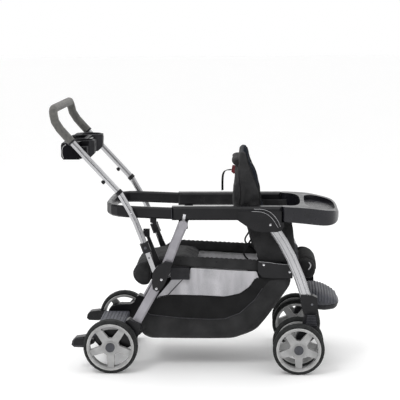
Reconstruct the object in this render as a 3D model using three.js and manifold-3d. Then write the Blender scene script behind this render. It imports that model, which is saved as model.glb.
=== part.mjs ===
// Sit and stand stroller: a front seat, a rear bench and a standing platform on one folding frame.
// Millimetres, +Z up, +X to the front, +Y to the left, origin on the floor under the middle.
import * as THREE from 'three';
import { mergeVertices } from 'three/addons/utils/BufferGeometryUtils.js';
import Module from 'manifold-3d';

const wasm = await Module();
wasm.setup();

// Clearance between pieces that touch, and the overrun of a cut
const CLEARANCE = 0.3;
const OVERRUN = 2;

// Overall layout
const WHEELBASE = 717;
const ARMREST_UNDERSIDE = 584;
const ARMREST_DEPTH = 52;
const ARMREST_OUTER = 203;
const ARMREST_THICKNESS = 43;
const LEG_PLANE = 193;
const RAIL_PLANE = 165;

// Wheels
const REAR_WHEEL_RADIUS = 104;
const REAR_WHEEL_WIDTH = 40;
const REAR_WHEEL_PLANE = 245;
const FRONT_WHEEL_RADIUS = 98;
const FRONT_WHEEL_WIDTH = 34;
const CASTER_PLANE = 200;
const FRONT_WHEEL_OFFSET = 53;
const TYRE_DEPTH = 13;
const TYRE_SHOULDER = 7;
const RIM_FLANGE = 10;
const SPOKE_PLATE = 18;
const HUB_RADIUS = 23;
const SPOKE_WIDTH = 24;
const WINDOW_INNER_RADIUS = 35;
const WINDOW_INNER_WIDTH = 13;
const SPOKES = 5;
const WHEEL_SIDES = 30;
const TUBE_SIDES = 12;
const WELL_SIDES = 24;

// Axles and casters
const REAR_AXLE_RADIUS = 8;
const FRONT_AXLE_RADIUS = 6;
const AXLE_HEAD_RADIUS = 18;
const AXLE_HEAD_THICKNESS = 5;
const CASTER_TRAIL = 45;
const FORK_LENGTH = 91;
const FORK_HEIGHT = 141;
const FORK_THICKNESS = 40;
const FORK_BOSS_RADIUS = 15;
const STEM_RADIUS = 7;
const STEM_LENGTH = 15;

// Rear legs
const REAR_PIVOT_AHEAD = 279;
const LEG_END_RADIUS = 18;
const REAR_LEG_WIDTH = 36;
const REAR_LEG_THICKNESS = 18;
const HOUSING_LENGTH = 176;
const HOUSING_HEIGHT = 122;
const HOUSING_THICKNESS = 43;
const BRACKET_LENGTH = 79;
const BRACKET_HEIGHT = 115;
const BRACKET_THICKNESS = 22;
const LOCK_BAR_LENGTH = 84;
const LOCK_BAR_WIDTH = 17;
const LOCK_BAR_THICKNESS = 14;
const PEDAL_LENGTH = 92;
const PEDAL_HEIGHT = 43;
const PEDAL_WIDTH = 36;
const PEDAL_PIVOT_ABOVE = 12;
const PLATFORM_LENGTH = 106;
const PLATFORM_OVERHANG = 78;
const PLATFORM_ABOVE = 9;
const PLATFORM_THICKNESS = 24;
const PLATFORM_EDGE = 4;

// Front legs
const FRONT_LEG_WIDTH = 40;
const FRONT_LEG_THICKNESS = 20;
const FRONT_LEG_ENTRY = 6;
const FRONT_LEG_SETBACK = 5;
const SOCKET_LENGTH = 66;
const SOCKET_HEIGHT = 73;
const SOCKET_THICKNESS = 34;
const CROSS_TUBE_RADIUS = 10;

// Armrests, grab bar and trays
const ARMREST_REAR_AHEAD = 237;
const ARMREST_LENGTH = 415;
const ARMREST_EDGE = 7;
const ELBOW_LENGTH = 175;
const ELBOW_HEIGHT = 80;
const ELBOW_DROP = 44;
const ELBOW_WALL = 3.2;
const ELBOW_THICKNESS = 41;
const LUG_LENGTH = 34;
const LUG_HEIGHT = 36;
const LUG_THICKNESS = 17;
const GRAB_BAR_REACH = 249;
const GRAB_BAR_THICKNESS = 23;
const GRAB_BAR_DEPTH = 44;
const GRAB_BAR_EDGE = 6;
const GRAB_BAR_RISE = 10;
const TRAY_LENGTH = 224.6;
const TRAY_DROP = 25;
const TRAY_SLOPE = 0.13;
const TRAY_RECESS_DEPTH = 24;
const ORGANIZER_LENGTH = 126;
const ORGANIZER_HEIGHT = 66;
const ORGANIZER_HALF_WIDTH = 198;
const ORGANIZER_WELL_RADIUS = 37;
const ORGANIZER_WELL_DEPTH = 54;
const ORGANIZER_WELL_PLANE = 118;
const ORGANIZER_BOX_WIDTH = 118;
const ORGANIZER_BOX_DEPTH = 40;
const ORGANIZER_EAR_LENGTH = 50;
const ORGANIZER_EAR_HEIGHT = 40;

// Handle
const HANDLE_TUBE_RADIUS = 12.2;
const HANDLE_RUN = 340;
const HANDLE_RISE = 499;
const HANDLE_CORNER_RUN = 8;
const HANDLE_CORNER_RISE = 46;
const HANDLE_CORNER_INSET = 39;
const GRIP_RADIUS = 16.5;
const GRIP_BELOW_BEND = 20;
const HANDLE_PIVOT_AHEAD = 83;
const LATCH_LENGTH = 40;
const LATCH_WIDTH = 31;
const LATCH_EDGE = 5;

// Seat rails, bench and basket
const RAIL_LENGTH = 357;
const RAIL_DROP = 65;
const RAIL_THICKNESS = 16;
const RAIL_REAR_AHEAD = 205;
const RAIL_UNDERSIDE = 381;
const PLATE_LENGTH = 135;
const PLATE_HEIGHT = 65;
const PLATE_THICKNESS = 23;
const BENCH_PAN_LENGTH = 158;
const BENCH_PAN_THICKNESS = 12;
const BENCH_BEAM_LENGTH = 73;
const BENCH_BEAM_HEIGHT = 46;
const BENCH_BEAM_SETBACK = 17;
const BENCH_BEAM_INSET = 23;
const BENCH_CUSHION_LENGTH = 242;
const BENCH_CUSHION_HEIGHT = 109;
const BENCH_CUSHION_WIDTH = 276;
const BENCH_CUSHION_SINK = 82;
const BENCH_POST_LENGTH = 74;
const BENCH_POST_HEIGHT = 146;
const BENCH_POST_THICKNESS = 12;
const BENCH_POST_GAP = 5.7;
const BASKET_WALL = 3;
const BASKET_LENGTH = 596;
const BASKET_REAR_AHEAD = 96;
const BASKET_DEPTH = 281;
const BASKET_GROUND_CLEARANCE = 112;
const BASKET_BULGE = 6;
const BASKET_FLOOR_HALF_WIDTH = 150;

// Front seat
const SEAT_HALF_WIDTH = 159;
const SEAT_PANEL = 11;
const SEAT_PANEL_LENGTH = 216;
const SEAT_PANEL_HEIGHT = 198;
const SEAT_BASE_LENGTH = 150;
const SEAT_BASE_HEIGHT = 34;
const CALF_ROLL_LENGTH = 75;
const CALF_ROLL_HEIGHT = 83;
const CALF_ROLL_WIDTH = 296;
const SEAT_BACK_HEIGHT = 405;
const SEAT_BACK_LEAN = 128;
const SEAT_BACK_SETBACK = 104;
const SEAT_BACK_HALF_WIDTH = 146;
const SHOULDER_PAD_WIDTH = 38;
const SHOULDER_PAD_THICKNESS = 11;
const SHOULDER_PAD_PLANE = 48;
const TAB_LENGTH = 18;
const TAB_HEIGHT = 33;
const TAB_WIDTH = 24;
const STRAP_WIDTH = 14;
const STRAP_THICKNESS = 2.5;
const STRAP_RUN = 40;
const STRAP_DROP = 94;
const STRAP_REACH = 148;
const BUCKLE_WIDTH = 44;
const BUCKLE_HEIGHT = 58;
const BUCKLE_THICKNESS = 16;
const FOOTREST_LENGTH = 120;
const FOOTREST_WIDTH = 250;
const FOOTREST_HEIGHT = 82;
const FOOTREST_ABOVE_WHEELS = 11;

// Shapes of the outlines, as shares of their boxes: along X, then along Z (Y for a plan)
const REAR_LEG_ROUTE_SHARES = [[1.0, 1.0], [0.841, 0.825], [0.692, 0.639], [0.431, 0.373], [0.0, 0.0]];
const FRONT_LEG_ROUTE_SHARES = [
  [0.0, 1.0], [0.146, 0.891], [0.369, 0.732], [0.567, 0.556], [0.758, 0.344], [0.911, 0.132], [1.0, 0.0],
];
const HANDLE_PIVOT_SHARES = [0.821, 0.305];
const HANDLE_ROUTE_SHARES = [
  [1.0, 0.0], [0.935, 0.126], [0.871, 0.24], [0.806, 0.327], [0.7, 0.455], [0.415, 0.669], [0.135, 0.878],
  [0.053, 0.942], [0.0, 1.0],
];
const HANDLE_CORNER_SHARES = [
  [0.375, 0.478, 0.05], [0.062, 0.783, 0.24], [0.0, 0.957, 0.57], [0.0, 1.0, 1.0],
];
const GRAB_BAR_PLAN_SHARES = [
  [1.0, 1.0], [0.49, 1.0], [0.313, 0.99], [0.185, 0.942], [0.096, 0.838], [0.032, 0.67], [0.004, 0.471],
  [0.0, 0.236], [0.0, 0.0],
];
const ELBOW_SHARES = [
  [0.0, 0.562], [0.229, 0.212], [0.371, 0.05], [0.52, 0.0], [0.851, 0.0], [0.96, 0.087], [1.0, 0.275],
  [1.0, 0.46], [0.943, 0.46], [0.943, 1.0], [0.0, 1.0],
];
const BRACKET_ANCHOR_SHARES = [0.759, 0.948];
const BRACKET_SHARES = [
  [0.633, 1.0], [1.0, 0.948], [0.899, 0.643], [0.595, 0.209], [0.456, 0.07], [0.228, 0.0], [0.051, 0.078],
  [0.0, 0.322], [0.051, 0.643], [0.241, 0.826],
];
const HOUSING_ANCHOR_SHARES = [0.352, 0.18];
const HOUSING_FOOT_SHARES = [0.83, 0.697];
const HOUSING_SHARES = [
  [0.0, 0.279], [0.011, 0.475], [0.091, 0.607], [0.295, 0.672], [0.523, 0.672], [0.625, 0.754],
  [0.682, 0.951], [0.75, 1.0], [1.0, 0.811], [0.989, 0.639], [0.92, 0.377], [0.807, 0.148], [0.625, 0.033],
  [0.352, 0.0], [0.114, 0.082],
];
const PEDAL_ANCHOR_SHARES = [1.0, 0.535];
const PEDAL_SHARES = [
  [0.0, 0.233], [0.033, 0.581], [0.174, 0.884], [0.554, 1.0], [0.826, 0.791], [0.935, 0.721], [1.0, 0.535],
  [0.935, 0.349], [0.826, 0.256], [0.554, 0.0], [0.109, 0.023],
];
const SOCKET_ANCHOR_SHARES = [0.5, 0.356];
const SOCKET_SHARES = [
  [0.0, 1.0], [0.727, 1.0], [0.97, 0.877], [1.0, 0.356], [0.939, 0.0], [0.182, 0.0], [0.061, 0.425],
];
const FORK_ANCHOR_SHARES = [0.198, 0.113];
const FORK_SHARES = [
  [0.44, 1.0], [0.945, 1.0], [1.0, 0.809], [0.978, 0.681], [0.758, 0.539], [0.538, 0.255], [0.429, 0.071],
  [0.198, 0.0], [0.033, 0.057], [0.0, 0.184], [0.143, 0.426], [0.363, 0.681],
];
const RAIL_SHARES = [[0.0, 0.338], [1.0, 0.0], [1.0, 0.723], [0.0, 1.0]];
const PLATE_SHARES = [
  [0.0, 1.0], [0.481, 0.923], [0.919, 0.846], [1.0, 0.646], [0.978, 0.0], [0.43, 0.015], [0.119, 0.062],
  [0.0, 0.354],
];
const BENCH_CUSHION_SHARES = [
  [1.0, 0.752], [1.0, 0.881], [0.926, 0.972], [0.678, 1.0], [0.43, 0.972], [0.223, 0.899], [0.083, 0.771],
  [0.008, 0.55], [0.0, 0.349], [0.041, 0.147], [0.132, 0.0], [0.223, 0.0], [0.277, 0.11], [0.293, 0.339],
  [0.306, 0.606], [0.347, 0.752],
];
const BENCH_POST_SHARES = [
  [0.622, 0.0], [1.0, 0.0], [0.757, 0.274], [0.486, 0.616], [0.351, 0.795], [0.351, 1.0], [0.027, 1.0],
  [0.0, 0.822], [0.189, 0.781], [0.324, 0.589],
];
const SEAT_PANEL_SHARES = [
  [0.315, 0.025], [1.0, 0.0], [0.963, 0.333], [0.926, 0.72], [0.85, 0.79], [0.84, 1.0], [0.0, 1.0],
  [0.13, 0.672], [0.262, 0.232],
];
const SEAT_BASE_SHARES = [[0.0, 0.294], [1.0, 0.0], [1.0, 0.647], [0.76, 0.853], [0.227, 1.0], [0.0, 0.971]];
const CALF_ROLL_SHARES = [
  [0.0, 0.867], [0.32, 1.0], [0.613, 0.94], [0.88, 0.771], [1.0, 0.518], [0.933, 0.193], [0.693, 0.0],
  [0.427, 0.024], [0.227, 0.193], [0.08, 0.506],
];
const TAB_SHARES = [[0.0, 0.273], [0.222, 1.0], [0.889, 0.939], [1.0, 0.152], [0.556, 0.0]];
const FOOTREST_SIDE_SHARES = [
  [0.0, 1.0], [0.277, 1.0], [0.597, 0.841], [0.882, 0.598], [1.0, 0.354], [0.966, 0.159], [0.849, 0.049],
  [0.529, 0.0], [0.109, 0.061], [0.0, 0.183],
];
const FOOTREST_PLAN_SHARES = [
  [0.0, 0.012], [0.358, 0.0], [0.708, 0.036], [0.908, 0.132], [0.992, 0.3], [1.0, 0.5], [0.992, 0.7],
  [0.908, 0.868], [0.708, 0.964], [0.358, 1.0], [0.0, 0.988],
];
const TRAY_SIDE_SHARES = [
  [0.0, 0.266], [0.0, 1.0], [0.479, 0.922], [0.924, 0.688], [0.987, 0.558], [1.0, 0.299], [0.951, 0.065],
  [0.791, 0.0], [0.39, 0.156],
];
const TRAY_PLAN_SHARES = [
  [0.0, 0.0], [0.39, 0.0], [0.613, 0.012], [0.809, 0.062], [0.933, 0.155], [0.987, 0.303], [1.0, 0.5],
  [0.987, 0.697], [0.933, 0.845], [0.809, 0.938], [0.613, 0.988], [0.39, 1.0], [0.0, 1.0], [0.0, 0.894],
  [0.167, 0.894], [0.265, 0.845], [0.319, 0.722], [0.332, 0.5], [0.319, 0.278], [0.265, 0.155],
  [0.167, 0.106], [0.0, 0.106],
];
const TRAY_RECESS_SHARES = [
  [0.42, 0.17], [0.62, 0.09], [0.8, 0.14], [0.9, 0.24], [0.93, 0.38], [0.93, 0.62], [0.9, 0.76], [0.8, 0.86],
  [0.62, 0.91], [0.42, 0.83], [0.4, 0.62], [0.4, 0.38],
];
const ORGANIZER_SIDE_SHARES = [
  [0.0, 0.182], [0.0, 0.727], [0.048, 0.939], [0.508, 1.0], [0.968, 1.0], [1.0, 0.788], [0.968, 0.242],
  [0.841, 0.0], [0.095, 0.0],
];
const ORGANIZER_PLAN_SHARES = [
  [0.095, 0.0], [0.571, 0.0], [0.619, 0.096], [0.841, 0.106], [0.968, 0.152], [1.0, 0.202], [0.968, 0.253],
  [0.841, 0.298], [0.698, 0.333], [0.683, 0.5], [0.698, 0.667], [0.841, 0.702], [0.968, 0.747], [1.0, 0.798],
  [0.968, 0.848], [0.841, 0.894], [0.619, 0.904], [0.571, 1.0], [0.095, 1.0], [0.016, 0.97], [0.0, 0.879],
  [0.0, 0.121], [0.016, 0.03],
];
const ORGANIZER_WELL_SHARE = 0.62;
const ORGANIZER_BOX_SHARES = [0.1, 0.58];
const ORGANIZER_EAR_SHARES = [0.42, 0.12];
const ORGANIZER_PLACE_SHARES = [0.037, 0.707];
// Basket stations: along the length, the floor's height, and the free top edge's height at the rear
const BASKET_FLOOR_SHARES = [
  [0.0, 0.29], [0.012, 0.15], [0.03, 0.06], [0.07, 0.007], [0.148, 0.0], [0.567, 0.0], [0.664, 0.043],
  [0.762, 0.139], [0.82, 0.281], [0.866, 0.409], [0.936, 0.605], [1.0, 0.79],
];
const BASKET_REAR_EDGE_SHARES = [[0.0, 0.345], [0.07, 0.46], [0.148, 0.64], [0.222, 0.83]];
const BASKET_BULGE_SHARES = [[1.0, 0.0], [0.62, 0.4], [0.3, 1.0], [0.1, 0.5]];
// Seat back stations up the height: height, then rear, front and wing tip along the lean, then half width
const SEAT_BACK_SHARES = [
  [0.0, 0.703, 1.0, 1.17, 0.95], [0.241, 0.516, 0.805, 1.078, 1.0], [0.448, 0.078, 0.516, 0.93, 1.0],
  [0.642, 0.109, 0.453, 0.812, 0.99], [0.806, 0.172, 0.36, 0.57, 0.96], [0.858, 0.172, 0.352, 0.516, 0.94],
  [0.878, 0.016, 0.344, 0.49, 0.93], [0.9, 0.06, 0.344, 0.48, 0.91], [0.925, 0.22, 0.36, 0.47, 0.88],
  [0.97, 0.25, 0.35, 0.414, 0.81], [1.0, 0.29, 0.33, 0.37, 0.7],
];
// A seat back section from the middle of the back round the wing to the middle of the front:
// half width, then the place from rear to wing tip, or from front to wing tip where the third is 1
const SEAT_SECTION_SHARES = [
  [0.0, 0.0, 0], [0.6, 0.0, 0], [0.9, 0.12, 0], [1.0, 0.4, 0], [0.99, 0.9, 0], [0.93, 1.0, 1], [0.85, 0.8, 1],
  [0.78, 0.2, 1], [0.6, 0.0, 1], [0.0, 0.0, 1],
];
const SHOULDER_PAD_STATION_SHARES = [0.28, 0.448, 0.642, 0.67];
// The strap's route: to the rear, out to the side and down
const STRAP_ROUTE_SHARES = [
  [0.0, 0.0, 0.0], [0.3, 0.1, 0.02], [0.65, 0.3, 0.1], [0.88, 0.55, 0.3], [0.97, 0.8, 0.62], [1.0, 1.0, 1.0],
];
// A cushion's stations from its end to its middle: place, then size; and how far its length draws in
const PAD_STATION_SHARES = [[1.0, 0.72], [0.985, 0.84], [0.94, 0.94], [0.84, 0.985], [0.55, 1.0], [0.0, 1.0]];
const PAD_DRAW_SHARE = 0.67;
// Where one piece stands on another
const FRONT_LEG_TOP_SHARE = 0.646;
const PLATE_TOP_SHARE = 0.615;
const BENCH_POST_FOOT_SHARE = 0.52;
const SEAT_BASE_SINK_SHARE = 0.27;
const CALF_ROLL_SINK_SHARE = 0.84;
const BUCKLE_PLACE_SHARE = 0.56;
const TAB_RISE_SHARE = 0.9;
const STRAP_START_SHARE = 0.45;
const CROSS_TUBE_SHARE = 0.66;

// Derived places
const swivelX = WHEELBASE + CASTER_TRAIL;
const armrestFront = ARMREST_REAR_AHEAD + ARMREST_LENGTH;
const armrestTop = ARMREST_UNDERSIDE + ARMREST_DEPTH;
const armrestMiddle = ARMREST_UNDERSIDE + ARMREST_DEPTH / 2;
const armrestInner = ARMREST_OUTER - ARMREST_THICKNESS;
const trayStart = armrestFront + CLEARANCE;
const rearPivot = [REAR_PIVOT_AHEAD, ARMREST_UNDERSIDE - LEG_END_RADIUS - CLEARANCE];
const legOuter = LEG_PLANE + REAR_LEG_THICKNESS / 2;
const legInner = LEG_PLANE - REAR_LEG_THICKNESS / 2;
const handlePlane = ARMREST_OUTER + CLEARANCE + HANDLE_TUBE_RADIUS;
const grabBarSlope = GRAB_BAR_RISE / GRAB_BAR_REACH;
const handlePivot = [
  HANDLE_PIVOT_AHEAD,
  armrestMiddle + grabBarSlope * (ARMREST_REAR_AHEAD - HANDLE_PIVOT_AHEAD),
];
const handleCorner = [
  handlePivot[0] - HANDLE_PIVOT_SHARES[0] * HANDLE_RUN,
  handlePivot[1] - HANDLE_PIVOT_SHARES[1] * HANDLE_RISE,
];
const frameX = (trayStart + TRAY_LENGTH + handleCorner[0] - HANDLE_CORNER_RUN - GRIP_RADIUS) / 2;
const railFront = RAIL_REAR_AHEAD + RAIL_LENGTH;
const railInner = RAIL_PLANE - RAIL_THICKNESS / 2;
const railOuter = RAIL_PLANE + RAIL_THICKNESS / 2;

// Outlines

function inBox(shares, corner, size) {
  return shares.map(([s, t]) => [corner[0] + s * size[0], corner[1] + t * size[1]]);
}

function anchored(shares, anchor, size, anchorShares) {
  const corner = [anchor[0] - anchorShares[0] * size[0], anchor[1] - anchorShares[1] * size[1]];
  return inBox(shares, corner, size);
}

function rectangle(left, right, low, high) {
  return [[left, low], [right, low], [right, high], [left, high]];
}

// The height of a line through [x, z] points at a place along X
function heightAt(points, x) {
  const last = points.length - 1;
  const after = Math.min(Math.max(points.findIndex((point) => point[0] >= x), 1), last);
  const [from, to] = [points[after - 1], points[x > points[last][0] ? last : after]];
  const share = Math.min(Math.max((x - from[0]) / (to[0] - from[0]), 0), 1);
  return from[1] + share * (to[1] - from[1]);
}

function shapeOf(outline) {
  return new THREE.Shape(outline.map(([x, y]) => new THREE.Vector2(x, y)));
}

// Solids from outlines

function extruded(shape, length, edge) {
  return new THREE.ExtrudeGeometry(shape, {
    depth: length - 2 * edge,
    bevelEnabled: edge > 0,
    bevelThickness: edge,
    bevelSize: edge,
    bevelOffset: -edge,
    bevelSegments: 1,
    steps: 1,
  }).translate(0, 0, edge);
}

// An outline in X and Z, from one Y to another
function plate(outline, from, to, edge = 0) {
  return extruded(shapeOf(outline), to - from, edge).rotateX(Math.PI / 2).translate(0, to, 0);
}

// An outline in X and Y, from one height to another
function slab(outline, low, high, edge = 0) {
  return extruded(shapeOf(outline), high - low, edge).translate(0, 0, low);
}

// A profile of [radius, y] points that closes on itself, turned about Y
function turned(profile, sides = WHEEL_SIDES) {
  const points = [...profile, profile[0]].map(([radius, y]) => new THREE.Vector2(radius, y));
  return new THREE.LatheGeometry(points, sides);
}

function rod(radius, from, to, sides) {
  const middle = (from + to) / 2;
  return new THREE.CylinderGeometry(radius, radius, to - from, sides).translate(0, middle, 0);
}

// A line of points as a curve whose sections stand square to each bend
class Route extends THREE.Curve {
  constructor(points) {
    super();
    this.points = points;
  }

  getPoint(t, target = new THREE.Vector3()) {
    const place = t * (this.points.length - 1);
    const index = Math.min(Math.floor(place), this.points.length - 2);
    return target.lerpVectors(this.points[index], this.points[index + 1], place - index);
  }

  getUtoTmapping(u) {
    return u;
  }

  getTangent(t, target = new THREE.Vector3()) {
    const last = this.points.length - 1;
    const index = Math.round(t * last);
    const [before, here, after] = [Math.max(index - 1, 0), index, Math.min(index + 1, last)];
    const leaving = new THREE.Vector3().subVectors(this.points[after], this.points[here]).normalize();
    target.subVectors(this.points[here], this.points[before]).normalize();
    return target.add(leaving).normalize();
  }
}

function swept(section, points) {
  return new THREE.ExtrudeGeometry(section, {
    extrudePath: new Route(points),
    steps: points.length - 1,
    bevelEnabled: false,
  });
}

function circleSection(radius, sides, boreRadius = 0) {
  const ring = (size) => Array.from({ length: sides }, (_, k) => {
    const angle = (2 * Math.PI * k) / sides;
    return [size * Math.cos(angle), size * Math.sin(angle)];
  });
  const shape = shapeOf(ring(radius));
  if (boreRadius > 0) {
    shape.holes.push(new THREE.Path(ring(boreRadius).map(([x, y]) => new THREE.Vector2(x, y))));
  }
  return shape;
}

// A rectangle with cut corners: along the section's first and second axis
function barSection(first, second, edge) {
  const [a, b] = [first / 2, second / 2];
  return shapeOf([
    [a, b - edge], [a - edge, b], [edge - a, b], [-a, b - edge],
    [-a, edge - b], [edge - a, -b], [a - edge, -b], [a, edge - b],
  ]);
}

function raised(points, y) {
  return points.map(([x, z]) => new THREE.Vector3(x, y, z));
}

// Rings with as many points each, joined and capped; flat gives a point's place in the ring's plane
function loft(rings, flat) {
  const count = rings[0].length;
  const positions = rings.flat().flatMap((point) => point.toArray());
  const indices = [];
  for (let ring = 0; ring < rings.length - 1; ring += 1) {
    for (let k = 0; k < count; k += 1) {
      const [a, b] = [ring * count + k, ring * count + ((k + 1) % count)];
      indices.push(a, b, b + count, a, b + count, a + count);
    }
  }
  const last = (rings.length - 1) * count;
  for (const [ring, start, top] of [[rings[0], 0, false], [rings[rings.length - 1], last, true]]) {
    const contour = ring.map(flat);
    const around = THREE.ShapeUtils.area(contour) > 0;
    for (const face of THREE.ShapeUtils.triangulateShape(contour, [])) {
      const same = (THREE.ShapeUtils.area(face.map((k) => contour[k])) > 0) === around;
      const [a, b, c] = same === top ? face : [face[2], face[1], face[0]];
      indices.push(start + a, start + b, start + c);
    }
  }
  const geometry = new THREE.BufferGeometry();
  geometry.setAttribute('position', new THREE.Float32BufferAttribute(positions, 3));
  geometry.setIndex(indices);
  return outward(geometry);
}

// Turns every face round where the surface faces in
function outward(geometry) {
  const place = geometry.getAttribute('position');
  const index = geometry.getIndex().array;
  const corners = [new THREE.Vector3(), new THREE.Vector3(), new THREE.Vector3()];
  let volume = 0;
  for (let k = 0; k < index.length; k += 3) {
    corners.forEach((corner, n) => corner.fromBufferAttribute(place, index[k + n]));
    volume += corners[0].dot(corners[1].cross(corners[2]));
  }
  if (volume < 0) {
    for (let k = 0; k < index.length; k += 3) {
      [index[k + 1], index[k + 2]] = [index[k + 2], index[k + 1]];
    }
  }
  return geometry;
}

// Joins and cuts

function solid(geometry) {
  const bare = geometry.clone();
  bare.deleteAttribute('normal');
  bare.deleteAttribute('uv');
  const merged = outward(mergeVertices(bare));
  return new wasm.Manifold(new wasm.Mesh({
    numProp: 3,
    vertProperties: new Float32Array(merged.getAttribute('position').array),
    triVerts: new Uint32Array(merged.getIndex().array),
  }));
}

function surface(body) {
  const { vertProperties, triVerts } = body.getMesh();
  const geometry = new THREE.BufferGeometry();
  geometry.setAttribute('position', new THREE.BufferAttribute(vertProperties, 3));
  geometry.setIndex(new THREE.BufferAttribute(triVerts, 1));
  return geometry;
}

function joined(...geometries) {
  return surface(geometries.map(solid).reduce((whole, part) => whole.add(part)));
}

function cut(geometry, ...tools) {
  return surface(tools.map(solid).reduce((whole, tool) => whole.subtract(tool), solid(geometry)));
}

function common(first, second) {
  return surface(solid(first).intersect(solid(second)));
}

// Moves each point up or down by its distance ahead of a place
function sloped(geometry, start, slope) {
  return geometry.applyMatrix4(new THREE.Matrix4().makeShear(0, slope, 0, 0, 0, 0))
    .translate(0, 0, -slope * start);
}

// Materials

function finish(color, roughness, metalness = 0) {
  return new THREE.MeshStandardMaterial({ color, roughness, metalness });
}

const silver = finish(0xb9b9bb, 0.34, 0.85);
const greyTube = finish(0xa9a6ab, 0.45, 0.6);
const blackPlastic = finish(0x26262b, 0.42);
const mattePlastic = finish(0x303034, 0.6);
const greyPlastic = finish(0x55565b, 0.6);
const rimPlastic = finish(0xb9b9b9, 0.4, 0.15);
const tyreFoam = finish(0x2f3030, 0.85);
const foam = finish(0x5b5a58, 0.9);
const fabric = finish(0x2c2c2e, 0.95);
const pipedFabric = finish(0x3a3a3d, 0.9);
const redPlastic = finish(0x7d1f26, 0.5);
const axleSteel = finish(0x4a4b50, 0.4, 0.7);

// Scene: what lies on the left is drawn once and mirrored to the right

const frame = new THREE.Group();
const left = new THREE.Group();
const right = new THREE.Group();
right.scale.y = -1;
frame.add(left, right);
frame.position.x = -frameX;

function add(parent, name, geometry, material, place = [0, 0, 0], turn = 0) {
  const mesh = new THREE.Mesh(geometry, material);
  mesh.name = name;
  mesh.position.set(...place);
  mesh.rotation.y = turn;
  parent.add(mesh);
}

function pair(name, geometry, material, place, turn) {
  add(right, `${name}_right`, geometry, material, place, turn);
  add(left, `${name}_left`, geometry, material, place, turn);
}

// Wheels: axis along Y, outer face to +Y

function rimGeometry(radius, width, bore) {
  const outer = radius - TYRE_DEPTH;
  const inner = outer - RIM_FLANGE;
  const flange = turned(rectangle(inner, outer, -width / 2, width / 2));
  const hub = turned(rectangle(bore, HUB_RADIUS, -width / 2, width / 2));
  const spokes = circleSection(inner + RIM_FLANGE / 2, WHEEL_SIDES, bore + OVERRUN);
  const half = Math.PI / SPOKES;
  for (let spoke = 0; spoke < SPOKES; spoke += 1) {
    const middle = -Math.PI / 2 + half * (2 * spoke + 1);
    const wide = half - Math.asin(SPOKE_WIDTH / 2 / inner);
    const narrow = WINDOW_INNER_WIDTH / 2 / WINDOW_INNER_RADIUS;
    const window = [[-narrow, WINDOW_INNER_RADIUS], [narrow, WINDOW_INNER_RADIUS]];
    for (let k = 2; k >= -2; k -= 1) {
      window.push([(wide * k) / 2, inner]);
    }
    spokes.holes.push(new THREE.Path(window.map(([turn, reach]) => new THREE.Vector2(
      reach * Math.cos(middle + turn),
      reach * Math.sin(middle + turn),
    ))));
  }
  const plateTop = width / 2 - RIM_FLANGE / 2;
  const web = extruded(spokes, SPOKE_PLATE, 0).rotateX(Math.PI / 2).translate(0, plateTop, 0);
  return joined(flange, hub, web);
}

function tyreGeometry(radius, width) {
  const inner = radius - TYRE_DEPTH + CLEARANCE;
  const [shoulder, side] = [radius - TYRE_SHOULDER, width / 2 - TYRE_SHOULDER];
  return turned([
    [inner, -width / 2], [shoulder, -width / 2], [radius, -side], [radius, side], [shoulder, width / 2],
    [inner, width / 2],
  ]);
}

// An axle from one Y to another with a flat head beyond each end that is named
function axleGeometry(radius, from, to, headFrom, headTo) {
  const parts = [rod(radius, from, to, WHEEL_SIDES / 2)];
  if (headFrom) {
    parts.push(rod(AXLE_HEAD_RADIUS, from - AXLE_HEAD_THICKNESS, from, WHEEL_SIDES / 2));
  }
  if (headTo) {
    parts.push(rod(AXLE_HEAD_RADIUS, to, to + AXLE_HEAD_THICKNESS, WHEEL_SIDES / 2));
  }
  return joined(...parts);
}

const rearAxle = [0, REAR_WHEEL_RADIUS];
const rearBore = REAR_AXLE_RADIUS + CLEARANCE;
const rearPlace = [rearAxle[0], REAR_WHEEL_PLANE, rearAxle[1]];
pair('rear_rim', rimGeometry(REAR_WHEEL_RADIUS, REAR_WHEEL_WIDTH, rearBore), rimPlastic, rearPlace);
pair('rear_tyre', tyreGeometry(REAR_WHEEL_RADIUS, REAR_WHEEL_WIDTH), tyreFoam, rearPlace);
const rearAxleEnd = REAR_WHEEL_PLANE + REAR_WHEEL_WIDTH / 2 + CLEARANCE;
add(
  frame,
  'rear_axle',
  axleGeometry(REAR_AXLE_RADIUS, -rearAxleEnd, rearAxleEnd, true, true),
  axleSteel,
  [rearAxle[0], 0, rearAxle[1]],
);

// Casters, each with an inner and an outer wheel on one axle

const frontBore = FRONT_AXLE_RADIUS + CLEARANCE;
const frontRim = rimGeometry(FRONT_WHEEL_RADIUS, FRONT_WHEEL_WIDTH, frontBore);
const frontTyre = tyreGeometry(FRONT_WHEEL_RADIUS, FRONT_WHEEL_WIDTH);
for (const [where, side] of [['inner', -1], ['outer', 1]]) {
  const place = [WHEELBASE, CASTER_PLANE + side * FRONT_WHEEL_OFFSET, FRONT_WHEEL_RADIUS];
  pair(`front_rim_${where}`, frontRim, rimPlastic, place);
  pair(`front_tyre_${where}`, frontTyre, tyreFoam, place);
}
const frontAxleEnd = FRONT_WHEEL_OFFSET + FRONT_WHEEL_WIDTH / 2 + CLEARANCE;
const casterPlace = [WHEELBASE, CASTER_PLANE, FRONT_WHEEL_RADIUS];
const frontAxle = axleGeometry(FRONT_AXLE_RADIUS, -frontAxleEnd, frontAxleEnd, true, true);
pair('front_axle', frontAxle, axleSteel, casterPlace);

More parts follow.
